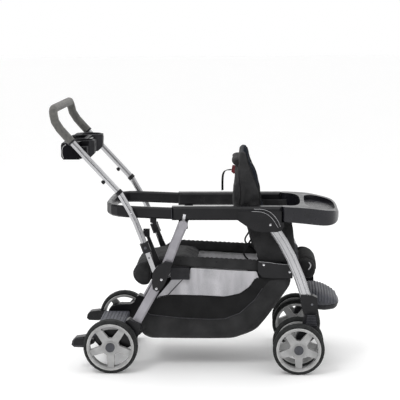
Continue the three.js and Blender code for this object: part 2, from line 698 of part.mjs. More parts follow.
const forkOutline = anchored(FORK_SHARES, [0, 0], [FORK_LENGTH, FORK_HEIGHT], FORK_ANCHOR_SHARES);
const forkTop = FORK_HEIGHT * (1 - FORK_ANCHOR_SHARES[1]);
const bossHalf = FRONT_WHEEL_OFFSET - FRONT_WHEEL_WIDTH / 2 - CLEARANCE;
const stem = new THREE.CylinderGeometry(STEM_RADIUS, STEM_RADIUS, STEM_LENGTH + OVERRUN, WHEEL_SIDES / 2)
  .rotateX(Math.PI / 2)
  .translate(CASTER_TRAIL, 0, forkTop + (STEM_LENGTH - OVERRUN) / 2);
const fork = cut(
  joined(
    plate(forkOutline, -FORK_THICKNESS / 2, FORK_THICKNESS / 2),
    rod(FORK_BOSS_RADIUS, -bossHalf, bossHalf, WHEEL_SIDES / 2),
    stem,
  ),
  rod(frontBore, -bossHalf - OVERRUN, bossHalf + OVERRUN, WHEEL_SIDES / 2),
);
pair('caster_fork', fork, mattePlastic, casterPlace);

// Front legs, their sockets and the armrests that carry them

const elbowStart = armrestFront - ELBOW_SHARES[8][0] * ELBOW_LENGTH;
const elbowLow = ARMREST_UNDERSIDE - ELBOW_DROP;
const socketLow = FRONT_WHEEL_RADIUS + forkTop + CLEARANCE;
const socketSize = [SOCKET_LENGTH, SOCKET_HEIGHT];
const legFoot = [swivelX - FRONT_LEG_SETBACK, socketLow + SOCKET_ANCHOR_SHARES[1] * SOCKET_HEIGHT];
const legTop = [elbowStart + ELBOW_LENGTH * FRONT_LEG_TOP_SHARE, ARMREST_UNDERSIDE + FRONT_LEG_ENTRY];
const frontLegRoute = inBox(
  FRONT_LEG_ROUTE_SHARES,
  [legTop[0], legFoot[1]],
  [legFoot[0] - legTop[0], legTop[1] - legFoot[1]],
);

// The route with each end drawn out along its own direction
function stretched(points, extra) {
  const vectors = raised(points, 0);
  const last = vectors.length - 1;
  vectors[0].add(vectors[0].clone().sub(vectors[1]).setLength(extra));
  vectors[last].add(vectors[last].clone().sub(vectors[last - 1]).setLength(extra));
  return vectors;
}

function legGeometry(route, thickness, width, edge, grow = 0) {
  const section = barSection(thickness + 2 * grow, width + 2 * grow, edge);
  return swept(section, stretched(route, grow)).translate(0, LEG_PLANE, 0);
}

const frontLegEdge = FRONT_LEG_THICKNESS / 4;
const frontLegSize = [FRONT_LEG_THICKNESS, FRONT_LEG_WIDTH, frontLegEdge];
const frontLegRoom = legGeometry(frontLegRoute, ...frontLegSize, CLEARANCE);
pair('front_leg', legGeometry(frontLegRoute, ...frontLegSize), silver);

const socketOutline = anchored(SOCKET_SHARES, legFoot, socketSize, SOCKET_ANCHOR_SHARES);
const socketPlane = (LEG_PLANE + CASTER_PLANE) / 2;
const socketInner = socketPlane - SOCKET_THICKNESS / 2;
const stemRoom = new THREE.CylinderGeometry(
  STEM_RADIUS + CLEARANCE,
  STEM_RADIUS + CLEARANCE,
  STEM_LENGTH + OVERRUN,
  WHEEL_SIDES / 2,
).rotateX(Math.PI / 2).translate(swivelX, CASTER_PLANE, socketLow + (STEM_LENGTH - OVERRUN) / 2);
const socket = cut(
  plate(socketOutline, socketInner, socketPlane + SOCKET_THICKNESS / 2),
  frontLegRoom,
  stemRoom,
);
pair('leg_socket', socket, blackPlastic);

const elbowOutline = inBox(ELBOW_SHARES, [elbowStart, elbowLow], [ELBOW_LENGTH, ELBOW_HEIGHT]);
const elbowOuter = ARMREST_OUTER + ELBOW_WALL;
const railOutline = rectangle(ARMREST_REAR_AHEAD, armrestFront, ARMREST_UNDERSIDE, armrestTop);
const lugOutline = rectangle(
  rearPivot[0] - LUG_LENGTH / 2,
  rearPivot[0] + LUG_LENGTH / 2,
  ARMREST_UNDERSIDE - LUG_HEIGHT,
  ARMREST_UNDERSIDE + OVERRUN,
);
const lugOuter = legInner - CLEARANCE;
const armrest = cut(
  joined(
    plate(railOutline, armrestInner, ARMREST_OUTER, ARMREST_EDGE),
    plate(elbowOutline, elbowOuter - ELBOW_THICKNESS, elbowOuter),
    plate(lugOutline, lugOuter - LUG_THICKNESS, lugOuter),
  ),
  frontLegRoom,
);
pair('armrest', armrest, blackPlastic);

// Rear grab bar: a U behind the rear rider, rising to the rear

const grabHalf = ARMREST_OUTER - GRAB_BAR_THICKNESS / 2;
const grabStart = ARMREST_REAR_AHEAD - CLEARANCE - GRAB_BAR_REACH;
const grabPlan = inBox(GRAB_BAR_PLAN_SHARES, [grabStart, 0], [GRAB_BAR_REACH, grabHalf]);
const grabRoute = [
  ...grabPlan.map(([x, y]) => new THREE.Vector3(x, y, 0)),
  ...grabPlan.slice(0, -1).reverse().map(([x, y]) => new THREE.Vector3(x, -y, 0)),
];
const grabBar = sloped(
  swept(barSection(GRAB_BAR_DEPTH, GRAB_BAR_THICKNESS, GRAB_BAR_EDGE), grabRoute),
  ARMREST_REAR_AHEAD,
  -grabBarSlope,
);
add(frame, 'rear_grab_bar', grabBar, blackPlastic, [0, 0, armrestMiddle]);

// Child tray

const trayDepth = ARMREST_DEPTH + TRAY_DROP;
const trayPlanCorner = [trayStart, -ARMREST_OUTER];
const trayPlanSize = [TRAY_LENGTH, 2 * ARMREST_OUTER];
const trayFloor = armrestTop - trayDepth;
const tray = cut(
  common(
    slab(inBox(TRAY_PLAN_SHARES, trayPlanCorner, trayPlanSize), trayFloor - OVERRUN, armrestTop + OVERRUN),
    plate(
      inBox(TRAY_SIDE_SHARES, [trayStart, trayFloor], [TRAY_LENGTH, trayDepth]),
      -ARMREST_OUTER - OVERRUN,
      ARMREST_OUTER + OVERRUN,
    ),
  ),
  sloped(
    slab(
      inBox(TRAY_RECESS_SHARES, trayPlanCorner, trayPlanSize),
      armrestTop - TRAY_RECESS_DEPTH,
      armrestTop + trayDepth,
    ),
    trayStart + TRAY_RECESS_SHARES[0][0] * TRAY_LENGTH,
    -TRAY_SLOPE,
  ),
);
add(frame, 'child_tray', tray, blackPlastic);

// Rear legs, their housings, brackets, lock bars, platform and pedals

const housingSize = [HOUSING_LENGTH, HOUSING_HEIGHT];
const housingOutline = anchored(HOUSING_SHARES, rearAxle, housingSize, HOUSING_ANCHOR_SHARES);
const rearFoot = anchored([HOUSING_FOOT_SHARES], rearAxle, housingSize, HOUSING_ANCHOR_SHARES)[0];
const rearLegRoute = inBox(
  REAR_LEG_ROUTE_SHARES,
  rearFoot,
  [rearPivot[0] - rearFoot[0], rearPivot[1] - rearFoot[1]],
);
const rearLegSize = [REAR_LEG_THICKNESS, REAR_LEG_WIDTH, REAR_LEG_THICKNESS / 3];
const rearLegEnd = rod(LEG_END_RADIUS, legInner, legOuter, WHEEL_SIDES / 2)
  .translate(rearPivot[0], 0, rearPivot[1]);
pair('rear_leg', joined(legGeometry(rearLegRoute, ...rearLegSize), rearLegEnd), greyTube);

const wheelInner = REAR_WHEEL_PLANE - REAR_WHEEL_WIDTH / 2;
const housingOuter = wheelInner - CLEARANCE;
const housingInner = housingOuter - HOUSING_THICKNESS;
const housing = cut(
  plate(housingOutline, housingInner, housingOuter),
  legGeometry(rearLegRoute, ...rearLegSize, CLEARANCE),
  rod(rearBore, housingInner - OVERRUN, housingOuter + OVERRUN, WHEEL_SIDES / 2)
    .translate(rearAxle[0], 0, rearAxle[1]),
);
pair('axle_housing', housing, blackPlastic);

const handleRoute = inBox(HANDLE_ROUTE_SHARES, handleCorner, [HANDLE_RUN, HANDLE_RISE]);
const tubeEnd = new THREE.Vector2(...handleRoute[0]);
const tubeDown = tubeEnd.clone().sub(new THREE.Vector2(...handleRoute[1])).normalize();
const tubeAcross = new THREE.Vector2(-tubeDown.y, tubeDown.x);

// A bar in line with the handle tube, from one distance below the tube's end to another
function barOutline(from, to, width) {
  return [[from, -1], [to, -1], [to, 1], [from, 1]].map(([along, side]) => tubeEnd.clone()
    .addScaledVector(tubeDown, along)
    .addScaledVector(tubeAcross, (side * width) / 2)
    .toArray());
}

const lockBar = plate(
  barOutline(CLEARANCE, LOCK_BAR_LENGTH, LOCK_BAR_WIDTH),
  handlePlane - LOCK_BAR_THICKNESS / 2,
  handlePlane + LOCK_BAR_THICKNESS / 2,
);
pair('lock_bar', lockBar, silver);
const lockBarRoom = plate(
  barOutline(0, LOCK_BAR_LENGTH + CLEARANCE, LOCK_BAR_WIDTH + 2 * CLEARANCE),
  handlePlane - LOCK_BAR_THICKNESS / 2 - CLEARANCE,
  handlePlane + LOCK_BAR_THICKNESS / 2 + CLEARANCE,
);
const bracketOutline = anchored(
  BRACKET_SHARES,
  rearLegRoute[2],
  [BRACKET_LENGTH, BRACKET_HEIGHT],
  BRACKET_ANCHOR_SHARES,
);
const bracketInner = legOuter + CLEARANCE;
const bracket = cut(plate(bracketOutline, bracketInner, bracketInner + BRACKET_THICKNESS), lockBarRoom);
pair('leg_bracket', bracket, blackPlastic);

const platformOutline = rectangle(
  rearAxle[0] - PLATFORM_OVERHANG,
  rearAxle[0] - PLATFORM_OVERHANG + PLATFORM_LENGTH,
  -housingInner + CLEARANCE,
  housingInner - CLEARANCE,
);
const platformLow = rearAxle[1] + PLATFORM_ABOVE;
const platform = slab(platformOutline, platformLow, platformLow + PLATFORM_THICKNESS, PLATFORM_EDGE);
add(frame, 'standing_platform', platform, greyPlastic);

const pedalAnchor = [housingOutline[0][0] - CLEARANCE, rearAxle[1] + PEDAL_PIVOT_ABOVE];
const pedalOutline = anchored(PEDAL_SHARES, pedalAnchor, [PEDAL_LENGTH, PEDAL_HEIGHT], PEDAL_ANCHOR_SHARES);
const pedal = plate(pedalOutline, housingOuter - PEDAL_WIDTH, housingOuter);
pair('brake_pedal', pedal, blackPlastic);

// Handle: tube, grip, latches and the parent's organizer

const cornerLow = [handleCorner[0] - HANDLE_CORNER_RUN, handleCorner[1] + HANDLE_RISE];
const handleHalf = [
  ...raised(handleRoute, handlePlane),
  ...HANDLE_CORNER_SHARES.map(([s, t, inset]) => new THREE.Vector3(
    cornerLow[0] + s * HANDLE_CORNER_RUN,
    handlePlane - inset * HANDLE_CORNER_INSET,
    cornerLow[1] + t * HANDLE_CORNER_RISE,
  )),
];

function acrossHandle(half) {
  return [...half, ...half.slice().reverse().map(({ x, y, z }) => new THREE.Vector3(x, -y, z))];
}

const handleTube = swept(circleSection(HANDLE_TUBE_RADIUS, TUBE_SIDES), acrossHandle(handleHalf));
add(frame, 'handle_tube', handleTube, silver);

const bendStart = HANDLE_ROUTE_SHARES.length - 3;
const belowBend = handleHalf[bendStart - 1].clone().sub(handleHalf[bendStart]).setLength(GRIP_BELOW_BEND);
const gripHalf = [handleHalf[bendStart].clone().add(belowBend), ...handleHalf.slice(bendStart)];
const gripSection = circleSection(GRIP_RADIUS, TUBE_SIDES, HANDLE_TUBE_RADIUS + CLEARANCE);
add(frame, 'handle_grip', swept(gripSection, acrossHandle(gripHalf)), foam);

const latchShape = barSection(LATCH_WIDTH, LATCH_WIDTH, LATCH_EDGE);
const latchBore = circleSection(HANDLE_TUBE_RADIUS + CLEARANCE, TUBE_SIDES);
latchShape.holes.push(new THREE.Path(latchBore.getPoints()));
const latch = extruded(latchShape, LATCH_LENGTH, 0);
const latchTurn = Math.atan2(-tubeDown.x, -tubeDown.y);
pair('latch', latch, blackPlastic, [tubeEnd.x, handlePlane, tubeEnd.y], latchTurn);

const organizerCorner = inBox([ORGANIZER_PLACE_SHARES], handleCorner, [HANDLE_RUN, HANDLE_RISE])[0];
const organizerTop = organizerCorner[1] + ORGANIZER_HEIGHT;
const organizerPlan = inBox(
  ORGANIZER_PLAN_SHARES,
  [organizerCorner[0], -ORGANIZER_HALF_WIDTH],
  [ORGANIZER_LENGTH, 2 * ORGANIZER_HALF_WIDTH],
);
const organizerSide = inBox(ORGANIZER_SIDE_SHARES, organizerCorner, [ORGANIZER_LENGTH, ORGANIZER_HEIGHT]);
const earCorner = inBox([ORGANIZER_EAR_SHARES], organizerCorner, [ORGANIZER_LENGTH, ORGANIZER_HEIGHT])[0];
const earOutline = rectangle(
  earCorner[0],
  earCorner[0] + ORGANIZER_EAR_LENGTH,
  earCorner[1],
  earCorner[1] + ORGANIZER_EAR_HEIGHT,
);
const earHalf = handlePlane - HANDLE_TUBE_RADIUS - CLEARANCE;
const organizerBox = rectangle(
  organizerCorner[0] + ORGANIZER_BOX_SHARES[0] * ORGANIZER_LENGTH,
  organizerCorner[0] + ORGANIZER_BOX_SHARES[1] * ORGANIZER_LENGTH,
  -ORGANIZER_BOX_WIDTH / 2,
  ORGANIZER_BOX_WIDTH / 2,
);
const wells = [-1, 1].map((side) => new THREE.CylinderGeometry(
  ORGANIZER_WELL_RADIUS,
  ORGANIZER_WELL_RADIUS,
  ORGANIZER_WELL_DEPTH + OVERRUN,
  WELL_SIDES,
).rotateX(Math.PI / 2).translate(
  organizerCorner[0] + ORGANIZER_WELL_SHARE * ORGANIZER_LENGTH,
  side * ORGANIZER_WELL_PLANE,
  organizerTop + (OVERRUN - ORGANIZER_WELL_DEPTH) / 2,
));
const organizer = cut(
  joined(
    common(
      slab(organizerPlan, organizerCorner[1] - OVERRUN, organizerTop + OVERRUN),
      plate(organizerSide, -ORGANIZER_HALF_WIDTH - OVERRUN, ORGANIZER_HALF_WIDTH + OVERRUN),
    ),
    plate(earOutline, -earHalf, earHalf),
  ),
  slab(organizerBox, organizerTop - ORGANIZER_BOX_DEPTH, organizerTop + OVERRUN),
  ...wells,
);
add(frame, 'parent_organizer', organizer, blackPlastic);

// Seat rails, plates, bench and posts

const railOutlineLow = inBox(RAIL_SHARES, [RAIL_REAR_AHEAD, RAIL_UNDERSIDE], [RAIL_LENGTH, RAIL_DROP]);
const railEdge = RAIL_THICKNESS / 4;
pair('seat_rail', plate(railOutlineLow, railInner, railOuter, railEdge), pipedFabric);

const plateOuter = LEG_PLANE - FRONT_LEG_THICKNESS / 2 - CLEARANCE;
const plateLow = RAIL_UNDERSIDE + RAIL_DROP * PLATE_TOP_SHARE - PLATE_HEIGHT;
const plateCorner = [railFront + CLEARANCE, plateLow];
const plateOutline = inBox(PLATE_SHARES, plateCorner, [PLATE_LENGTH, PLATE_HEIGHT]);
pair('seat_plate', plate(plateOutline, plateOuter - PLATE_THICKNESS, plateOuter), blackPlastic);

const railUnderside = railOutlineLow.slice(0, 2);
const beamStart = RAIL_REAR_AHEAD + BENCH_BEAM_INSET;
const beamEnd = beamStart + BENCH_BEAM_LENGTH;
const benchTop = heightAt(railUnderside, beamEnd) - CLEARANCE;
const beamHalf = legInner - 3 * CLEARANCE;
const benchEnd = beamEnd + BENCH_BEAM_SETBACK;
const postInner = BENCH_CUSHION_WIDTH / 2 + BENCH_POST_GAP;
const benchPanHalf = postInner + BENCH_POST_THICKNESS + CLEARANCE;
const benchPan = joined(
  plate(rectangle(beamStart, beamEnd, benchTop - BENCH_BEAM_HEIGHT, benchTop), -beamHalf, beamHalf),
  slab(
    rectangle(benchEnd - BENCH_PAN_LENGTH, benchEnd, -benchPanHalf, benchPanHalf),
    benchTop - BENCH_PAN_THICKNESS,
    benchTop,
  ),
);
add(frame, 'bench_pan', benchPan, blackPlastic);

// A cushion whose outline keeps its seat on a line and draws in towards both ends
function cushion(outline, width, seat) {
  const stations = [
    ...PAD_STATION_SHARES.map(([place, size]) => [-place, size]),
    ...PAD_STATION_SHARES.slice(0, -1).reverse(),
  ];
  return loft(
    stations.map(([place, size]) => outline.map(([x, z]) => new THREE.Vector3(
      seat[0] + (x - seat[0]) * (1 - PAD_DRAW_SHARE * (1 - size)),
      (place * width) / 2,
      seat[1] + (z - seat[1]) * size,
    ))),
    ({ x, z }) => new THREE.Vector2(x, z),
  );
}

const benchCushionLow = benchTop + CLEARANCE - BENCH_CUSHION_SINK;
const benchCushionOutline = inBox(
  BENCH_CUSHION_SHARES,
  [benchEnd - BENCH_CUSHION_LENGTH, benchCushionLow],
  [BENCH_CUSHION_LENGTH, BENCH_CUSHION_HEIGHT],
);
const benchSeat = [benchEnd - BENCH_PAN_LENGTH, benchTop + CLEARANCE];
add(frame, 'bench_cushion', cushion(benchCushionOutline, BENCH_CUSHION_WIDTH, benchSeat), fabric);

const postOutline = inBox(
  BENCH_POST_SHARES,
  [benchEnd - BENCH_PAN_LENGTH - BENCH_POST_LENGTH * BENCH_POST_FOOT_SHARE, benchTop + CLEARANCE],
  [BENCH_POST_LENGTH, BENCH_POST_HEIGHT],
);
pair('bench_post', plate(postOutline, postInner, postInner + BENCH_POST_THICKNESS), blackPlastic);

// Basket: an open cloth bag hung under the rails, the bench beam and the seat plates

const basketFloorLine = inBox(
  BASKET_FLOOR_SHARES,
  [BASKET_REAR_AHEAD, BASKET_GROUND_CLEARANCE],
  [BASKET_LENGTH, BASKET_DEPTH],
);
const basketRearEdge = inBox(
  BASKET_REAR_EDGE_SHARES,
  [BASKET_REAR_AHEAD, BASKET_GROUND_CLEARANCE],
  [BASKET_LENGTH, BASKET_DEPTH],
);

function basketTop(x) {
  if (x < beamStart - CLEARANCE) {
    return Math.min(heightAt(basketRearEdge, x), benchTop - BENCH_BEAM_HEIGHT - CLEARANCE);
  }
  if (x <= beamEnd + CLEARANCE) {
    return benchTop - BENCH_BEAM_HEIGHT - CLEARANCE;
  }
  if (x < railFront - CLEARANCE) {
    return heightAt(railUnderside, x) - CLEARANCE;
  }
  return plateLow - CLEARANCE;
}

const basketSteps = [beamStart - 2 * CLEARANCE, beamEnd + CLEARANCE, railFront - 2 * CLEARANCE];
const basketPlaces = [
  ...basketFloorLine.map(([x]) => x),
  ...basketSteps,
  ...basketSteps.map((x) => x + CLEARANCE * 1.5),
].sort((a, b) => a - b);

// The bag as a full body, drawn in by a wall and raised by an overrun where it makes the hollow
function basketBody(wall, rise) {
  const [start, end] = [BASKET_REAR_AHEAD + wall, BASKET_REAR_AHEAD + BASKET_LENGTH - wall];
  const places = [start, ...basketPlaces.filter((x) => x > start && x < end), end];
  const rings = places.map((x) => {
    const floor = Math.max(...[x - wall, x, x + wall].map((at) => heightAt(basketFloorLine, at))) + wall;
    const top = basketTop(x) + rise;
    const half = railOuter - wall;
    const side = BASKET_BULGE_SHARES.map(([height, bulge]) => [
      half + bulge * BASKET_BULGE,
      floor + height * (top - floor),
    ]);
    side.push([BASKET_FLOOR_HALF_WIDTH - wall, floor]);
    return [
      ...side.map(([y, z]) => new THREE.Vector3(x, y, z)),
      ...side.reverse().map(([y, z]) => new THREE.Vector3(x, -y, z)),
    ];
  });
  return loft(rings, ({ y, z }) => new THREE.Vector2(y, z));
}

add(frame, 'basket', cut(basketBody(0, 0), basketBody(BASKET_WALL, OVERRUN)), fabric);

// Front seat: base and side panels, calf roll, buckle

const seatStart = plateCorner[0] + CLEARANCE;
const seatLow = plateLow + PLATE_HEIGHT - SEAT_BASE_HEIGHT * SEAT_BASE_SINK_SHARE;
const seatBaseOutline = inBox(SEAT_BASE_SHARES, [seatStart, seatLow], [SEAT_BASE_LENGTH, SEAT_BASE_HEIGHT]);
const seatPanelOutline = inBox(
  SEAT_PANEL_SHARES,
  [seatStart + SEAT_BASE_LENGTH - SEAT_PANEL_LENGTH, seatLow + CLEARANCE],
  [SEAT_PANEL_LENGTH, SEAT_PANEL_HEIGHT],
);
const panelInner = SEAT_HALF_WIDTH - SEAT_PANEL;
const panelEdge = SEAT_PANEL / 4;
const seatMiddle = [seatStart + SEAT_BASE_LENGTH / 2, seatLow + SEAT_BASE_HEIGHT / 2];
const frontSeat = joined(
  cushion(seatBaseOutline, 2 * SEAT_HALF_WIDTH, seatMiddle),
  plate(seatPanelOutline, panelInner, SEAT_HALF_WIDTH, panelEdge),
  plate(seatPanelOutline, -SEAT_HALF_WIDTH, -panelInner, panelEdge),
);
add(frame, 'front_seat', frontSeat, fabric);

const calfCorner = [
  seatStart + SEAT_BASE_LENGTH + CLEARANCE,
  seatLow - CALF_ROLL_HEIGHT * CALF_ROLL_SINK_SHARE,
];
const calfOutline = inBox(CALF_ROLL_SHARES, calfCorner, [CALF_ROLL_LENGTH, CALF_ROLL_HEIGHT]);
const calfSeat = [calfCorner[0], calfCorner[1] + CALF_ROLL_HEIGHT / 2];
add(frame, 'calf_roll', cushion(calfOutline, CALF_ROLL_WIDTH, calfSeat), fabric);

const seatTop = seatLow + SEAT_BASE_HEIGHT;
const buckleX = seatStart + SEAT_BASE_LENGTH * BUCKLE_PLACE_SHARE;
const buckleLow = heightAt(seatBaseOutline.slice(2, 5).reverse(), buckleX);
const buckle = plate(
  rectangle(-BUCKLE_THICKNESS / 2, BUCKLE_THICKNESS / 2, 0, BUCKLE_HEIGHT),
  -BUCKLE_WIDTH / 2,
  BUCKLE_WIDTH / 2,
  BUCKLE_THICKNESS / 4,
);
add(frame, 'harness_buckle', buckle, blackPlastic, [buckleX, 0, buckleLow + 2 * CLEARANCE]);

// Seat back with its wings, tab, strap and shoulder pads

const backLow = seatTop + 2 * CLEARANCE;
const backStart = seatStart - SEAT_BACK_SETBACK + CLEARANCE;
const backStations = SEAT_BACK_SHARES.map(([height, rear, front, wing, half]) => ({
  z: backLow + height * SEAT_BACK_HEIGHT,
  rear: backStart + rear * SEAT_BACK_LEAN,
  front: backStart + front * SEAT_BACK_LEAN,
  wing: backStart + wing * SEAT_BACK_LEAN,
  half: half * SEAT_BACK_HALF_WIDTH,
}));
const backRings = backStations.map(({ z, rear, front, wing, half }) => {
  const side = SEAT_SECTION_SHARES.map(([across, along, inside]) => {
    const start = inside ? front : rear;
    return [start + along * (wing - start), across * half];
  });
  return [
    ...side.map(([x, y]) => new THREE.Vector3(x, y, z)),
    ...side.slice(1, -1).reverse().map(([x, y]) => new THREE.Vector3(x, -y, z)),
  ];
});
add(frame, 'seat_back', loft(backRings, ({ x, y }) => new THREE.Vector2(x, y)), fabric);

function backLine(which) {
  return backStations.map((station) => [station.z, station[which]]);
}

const padHeights = SHOULDER_PAD_STATION_SHARES.map((share) => backLow + share * SEAT_BACK_HEIGHT);
const padRear = padHeights.map((z) => [heightAt(backLine('front'), z) + 2 * CLEARANCE, z]);
const padOutline = [
  ...padRear,
  ...padRear.slice().reverse().map(([x, z]) => [x + SHOULDER_PAD_THICKNESS, z]),
];
const padFrom = SHOULDER_PAD_PLANE - SHOULDER_PAD_WIDTH / 2;
pair('shoulder_pad', plate(padOutline, padFrom, padFrom + SHOULDER_PAD_WIDTH), fabric);

const tabLow = backLow + SEAT_BACK_SHARES[3][0] * SEAT_BACK_HEIGHT + TAB_HEIGHT * TAB_RISE_SHARE;
const tabCorner = [heightAt(backLine('rear'), tabLow) - TAB_LENGTH - CLEARANCE, tabLow];
const tabOutline = inBox(TAB_SHARES, tabCorner, [TAB_LENGTH, TAB_HEIGHT]);
add(frame, 'recline_tab', plate(tabOutline, -TAB_WIDTH / 2, TAB_WIDTH / 2), redPlastic);

const strapStart = new THREE.Vector3(
  tabCorner[0] - CLEARANCE - STRAP_THICKNESS / 2,
  0,
  tabCorner[1] + TAB_HEIGHT * STRAP_START_SHARE,
);
const strapRoute = STRAP_ROUTE_SHARES.map(([back, across, down]) => new THREE.Vector3(
  strapStart.x - back * STRAP_RUN,
  strapStart.y + across * STRAP_REACH,
  strapStart.z - down * STRAP_DROP,
));
const strapEdge = STRAP_THICKNESS / 4;
const strap = swept(barSection(STRAP_WIDTH, STRAP_THICKNESS, strapEdge), strapRoute);
add(frame, 'recline_strap', strap, fabric);

// Footrest and the tube that carries it

const footrestRear = legFoot[0];
const footrestLow = 2 * FRONT_WHEEL_RADIUS + FOOTREST_ABOVE_WHEELS;
const footrest = common(
  slab(
    inBox(FOOTREST_PLAN_SHARES, [footrestRear, -FOOTREST_WIDTH / 2], [FOOTREST_LENGTH, FOOTREST_WIDTH]),
    footrestLow - OVERRUN,
    footrestLow + FOOTREST_HEIGHT + OVERRUN,
  ),
  plate(
    inBox(FOOTREST_SIDE_SHARES, [footrestRear, footrestLow], [FOOTREST_LENGTH, FOOTREST_HEIGHT]),
    -FOOTREST_WIDTH / 2 - OVERRUN,
    FOOTREST_WIDTH / 2 + OVERRUN,
  ),
);
add(frame, 'footrest', footrest, greyPlastic);

const crossHalf = socketInner - CLEARANCE;
const crossTube = rod(CROSS_TUBE_RADIUS, -crossHalf, crossHalf, TUBE_SIDES);
add(frame, 'front_cross_tube', crossTube, silver, [
  footrestRear - CLEARANCE - CROSS_TUBE_RADIUS,
  0,
  footrestLow + FOOTREST_HEIGHT * CROSS_TUBE_SHARE,
]);

export default frame;
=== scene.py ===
"""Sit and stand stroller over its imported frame. Lengths in millimetres from the rear axle's foot."""
import math

import bmesh
import bpy
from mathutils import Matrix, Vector, noise
from mathutils.bvhtree import BVHTree


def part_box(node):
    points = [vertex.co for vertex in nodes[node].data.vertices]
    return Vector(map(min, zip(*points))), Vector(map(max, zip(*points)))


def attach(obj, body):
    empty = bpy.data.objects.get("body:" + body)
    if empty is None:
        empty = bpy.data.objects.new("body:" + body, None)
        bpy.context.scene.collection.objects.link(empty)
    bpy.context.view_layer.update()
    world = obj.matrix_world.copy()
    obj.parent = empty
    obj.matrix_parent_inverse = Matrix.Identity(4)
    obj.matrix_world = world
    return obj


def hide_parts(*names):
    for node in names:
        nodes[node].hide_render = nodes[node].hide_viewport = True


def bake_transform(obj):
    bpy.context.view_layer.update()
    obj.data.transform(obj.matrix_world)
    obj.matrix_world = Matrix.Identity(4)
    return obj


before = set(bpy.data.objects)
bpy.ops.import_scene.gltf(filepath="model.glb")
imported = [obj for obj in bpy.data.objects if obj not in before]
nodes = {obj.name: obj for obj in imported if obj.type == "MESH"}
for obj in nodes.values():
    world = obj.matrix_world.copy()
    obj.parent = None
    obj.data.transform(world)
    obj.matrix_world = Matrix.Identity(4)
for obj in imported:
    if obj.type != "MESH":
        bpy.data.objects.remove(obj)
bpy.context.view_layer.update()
scene = bpy.context.scene
SIDES = ((-1, "right"), (1, "left"))
# How far the frame's origin lies in front of the rear axle
MIDDLE = 328.13


def point(x, y, z):
    return Vector(((x - MIDDLE) / 1000, y / 1000, z / 1000))


def millimetres(v):
    return Vector((v[0] * 1000 + MIDDLE, v[1] * 1000, v[2] * 1000))


def corners_of(node):
    return [millimetres(corner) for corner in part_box(node)]


# Materials


def linear(hex_colour):
    channels = [int(hex_colour[k:k + 2], 16) / 255 for k in (0, 2, 4)]
    return [c / 12.92 if c <= 0.04045 else ((c + 0.055) / 1.055) ** 2.4 for c in channels] + [1]


def shader_node(tree, kind, output, inputs, **settings):
    """A new node's output, with its inputs set to values or linked to other nodes' outputs."""
    node = tree.nodes.new(kind)
    for setting, value in settings.items():
        setattr(node, setting, value)
    for socket, value in inputs.items():
        if isinstance(value, bpy.types.NodeSocket):
            tree.links.new(value, node.inputs[socket])
        else:
            node.inputs[socket].default_value = value
    return node.outputs[output]


def math_node(tree, operation, first, second):
    return shader_node(tree, "ShaderNodeMath", 0, {0: first, 1: second}, operation=operation)


def noise_node(tree, place, scale, detail=3.0):
    return shader_node(tree, "ShaderNodeTexNoise", "Fac", {"Vector": place, "Scale": scale, "Detail": detail})


def wave_node(tree, place, period, direction):
    inputs = {"Vector": place, "Scale": math.pi / (10 * period), "Distortion": 0.4}
    return shader_node(tree, "ShaderNodeTexWave", "Fac", inputs, bands_direction=direction)


def ranged(tree, value, low, high, start=0.3, end=0.7):
    inputs = {"Value": value, "From Min": start, "From Max": end, "To Min": low, "To Max": high}
    return shader_node(tree, "ShaderNodeMapRange", "Result", inputs)


def mixed(tree, share, first, second):
    inputs = {"Factor": share, "A": first, "B": second}
    return shader_node(tree, "ShaderNodeMix", "Result", inputs, data_type="RGBA")


def bumped(tree, height, distance, below=None):
    inputs = {"Height": height, "Strength": 1.0, "Distance": distance}
    if below is not None:
        inputs["Normal"] = below
    return shader_node(tree, "ShaderNodeBump", "Normal", inputs)


ROUGHNESS_DRIFT = 0.08
HOLE_TONE = "96959a"


def finish(name, dark, light, roughness, tone, *grains, metallic=0.0, stretch=(1, 1, 1), weave=None,
           holes=None, specular=0.5, sheen=0.0, **constants):
    """A colour that drifts between two tones, with roughness drift and grains of (scale, depth) as relief."""
    made = bpy.data.materials.new(name)
    made.use_nodes = True
    tree = made.node_tree
    shader = tree.nodes["Principled BSDF"]
    constants.update({"Metallic": metallic, "Specular_IOR_Level": specular, "Sheen_Weight": sheen})
    for socket, value in constants.items():
        shader.inputs[socket.replace("_", " ")].default_value = value
    place = tree.nodes.new("ShaderNodeTexCoord").outputs["Object"]
    drifting = shader_node(tree, "ShaderNodeMapping", "Vector", {"Vector": place, "Scale": stretch})
    colour = mixed(tree, ranged(tree, noise_node(tree, drifting, tone), 0, 1), linear(dark), linear(light))
    normal = None
    if weave:
        first = wave_node(tree, place, weave, "DIAGONAL")
        second = wave_node(tree, place, weave, "Z")
        cloth = math_node(tree, "MULTIPLY", first, second)
        normal = bumped(tree, cloth, weave * 0.2)
        colour = mixed(tree, ranged(tree, cloth, 0, 0.45, 0, 1), colour, linear(light))
    if holes:
        inputs = {"Vector": place, "Scale": 1 / holes, "Randomness": 0.35}
        distance = shader_node(tree, "ShaderNodeTexVoronoi", "Distance", inputs)
        open_share = ranged(tree, distance, 0.75, 0, 0.15, 0.4)
        colour = mixed(tree, open_share, colour, linear(HOLE_TONE))
    for scale, depth in grains:
        normal = bumped(tree, noise_node(tree, place, scale, 4.0), depth / 1000, normal)
    tree.links.new(colour, shader.inputs["Base Color"])
    rough = noise_node(tree, drifting, tone * 2.3)
    rough = ranged(tree, rough, roughness - ROUGHNESS_DRIFT, roughness + ROUGHNESS_DRIFT)
    tree.links.new(rough, shader.inputs["Roughness"])
    if normal is not None:
        tree.links.new(normal, shader.inputs["Normal"])
    return made


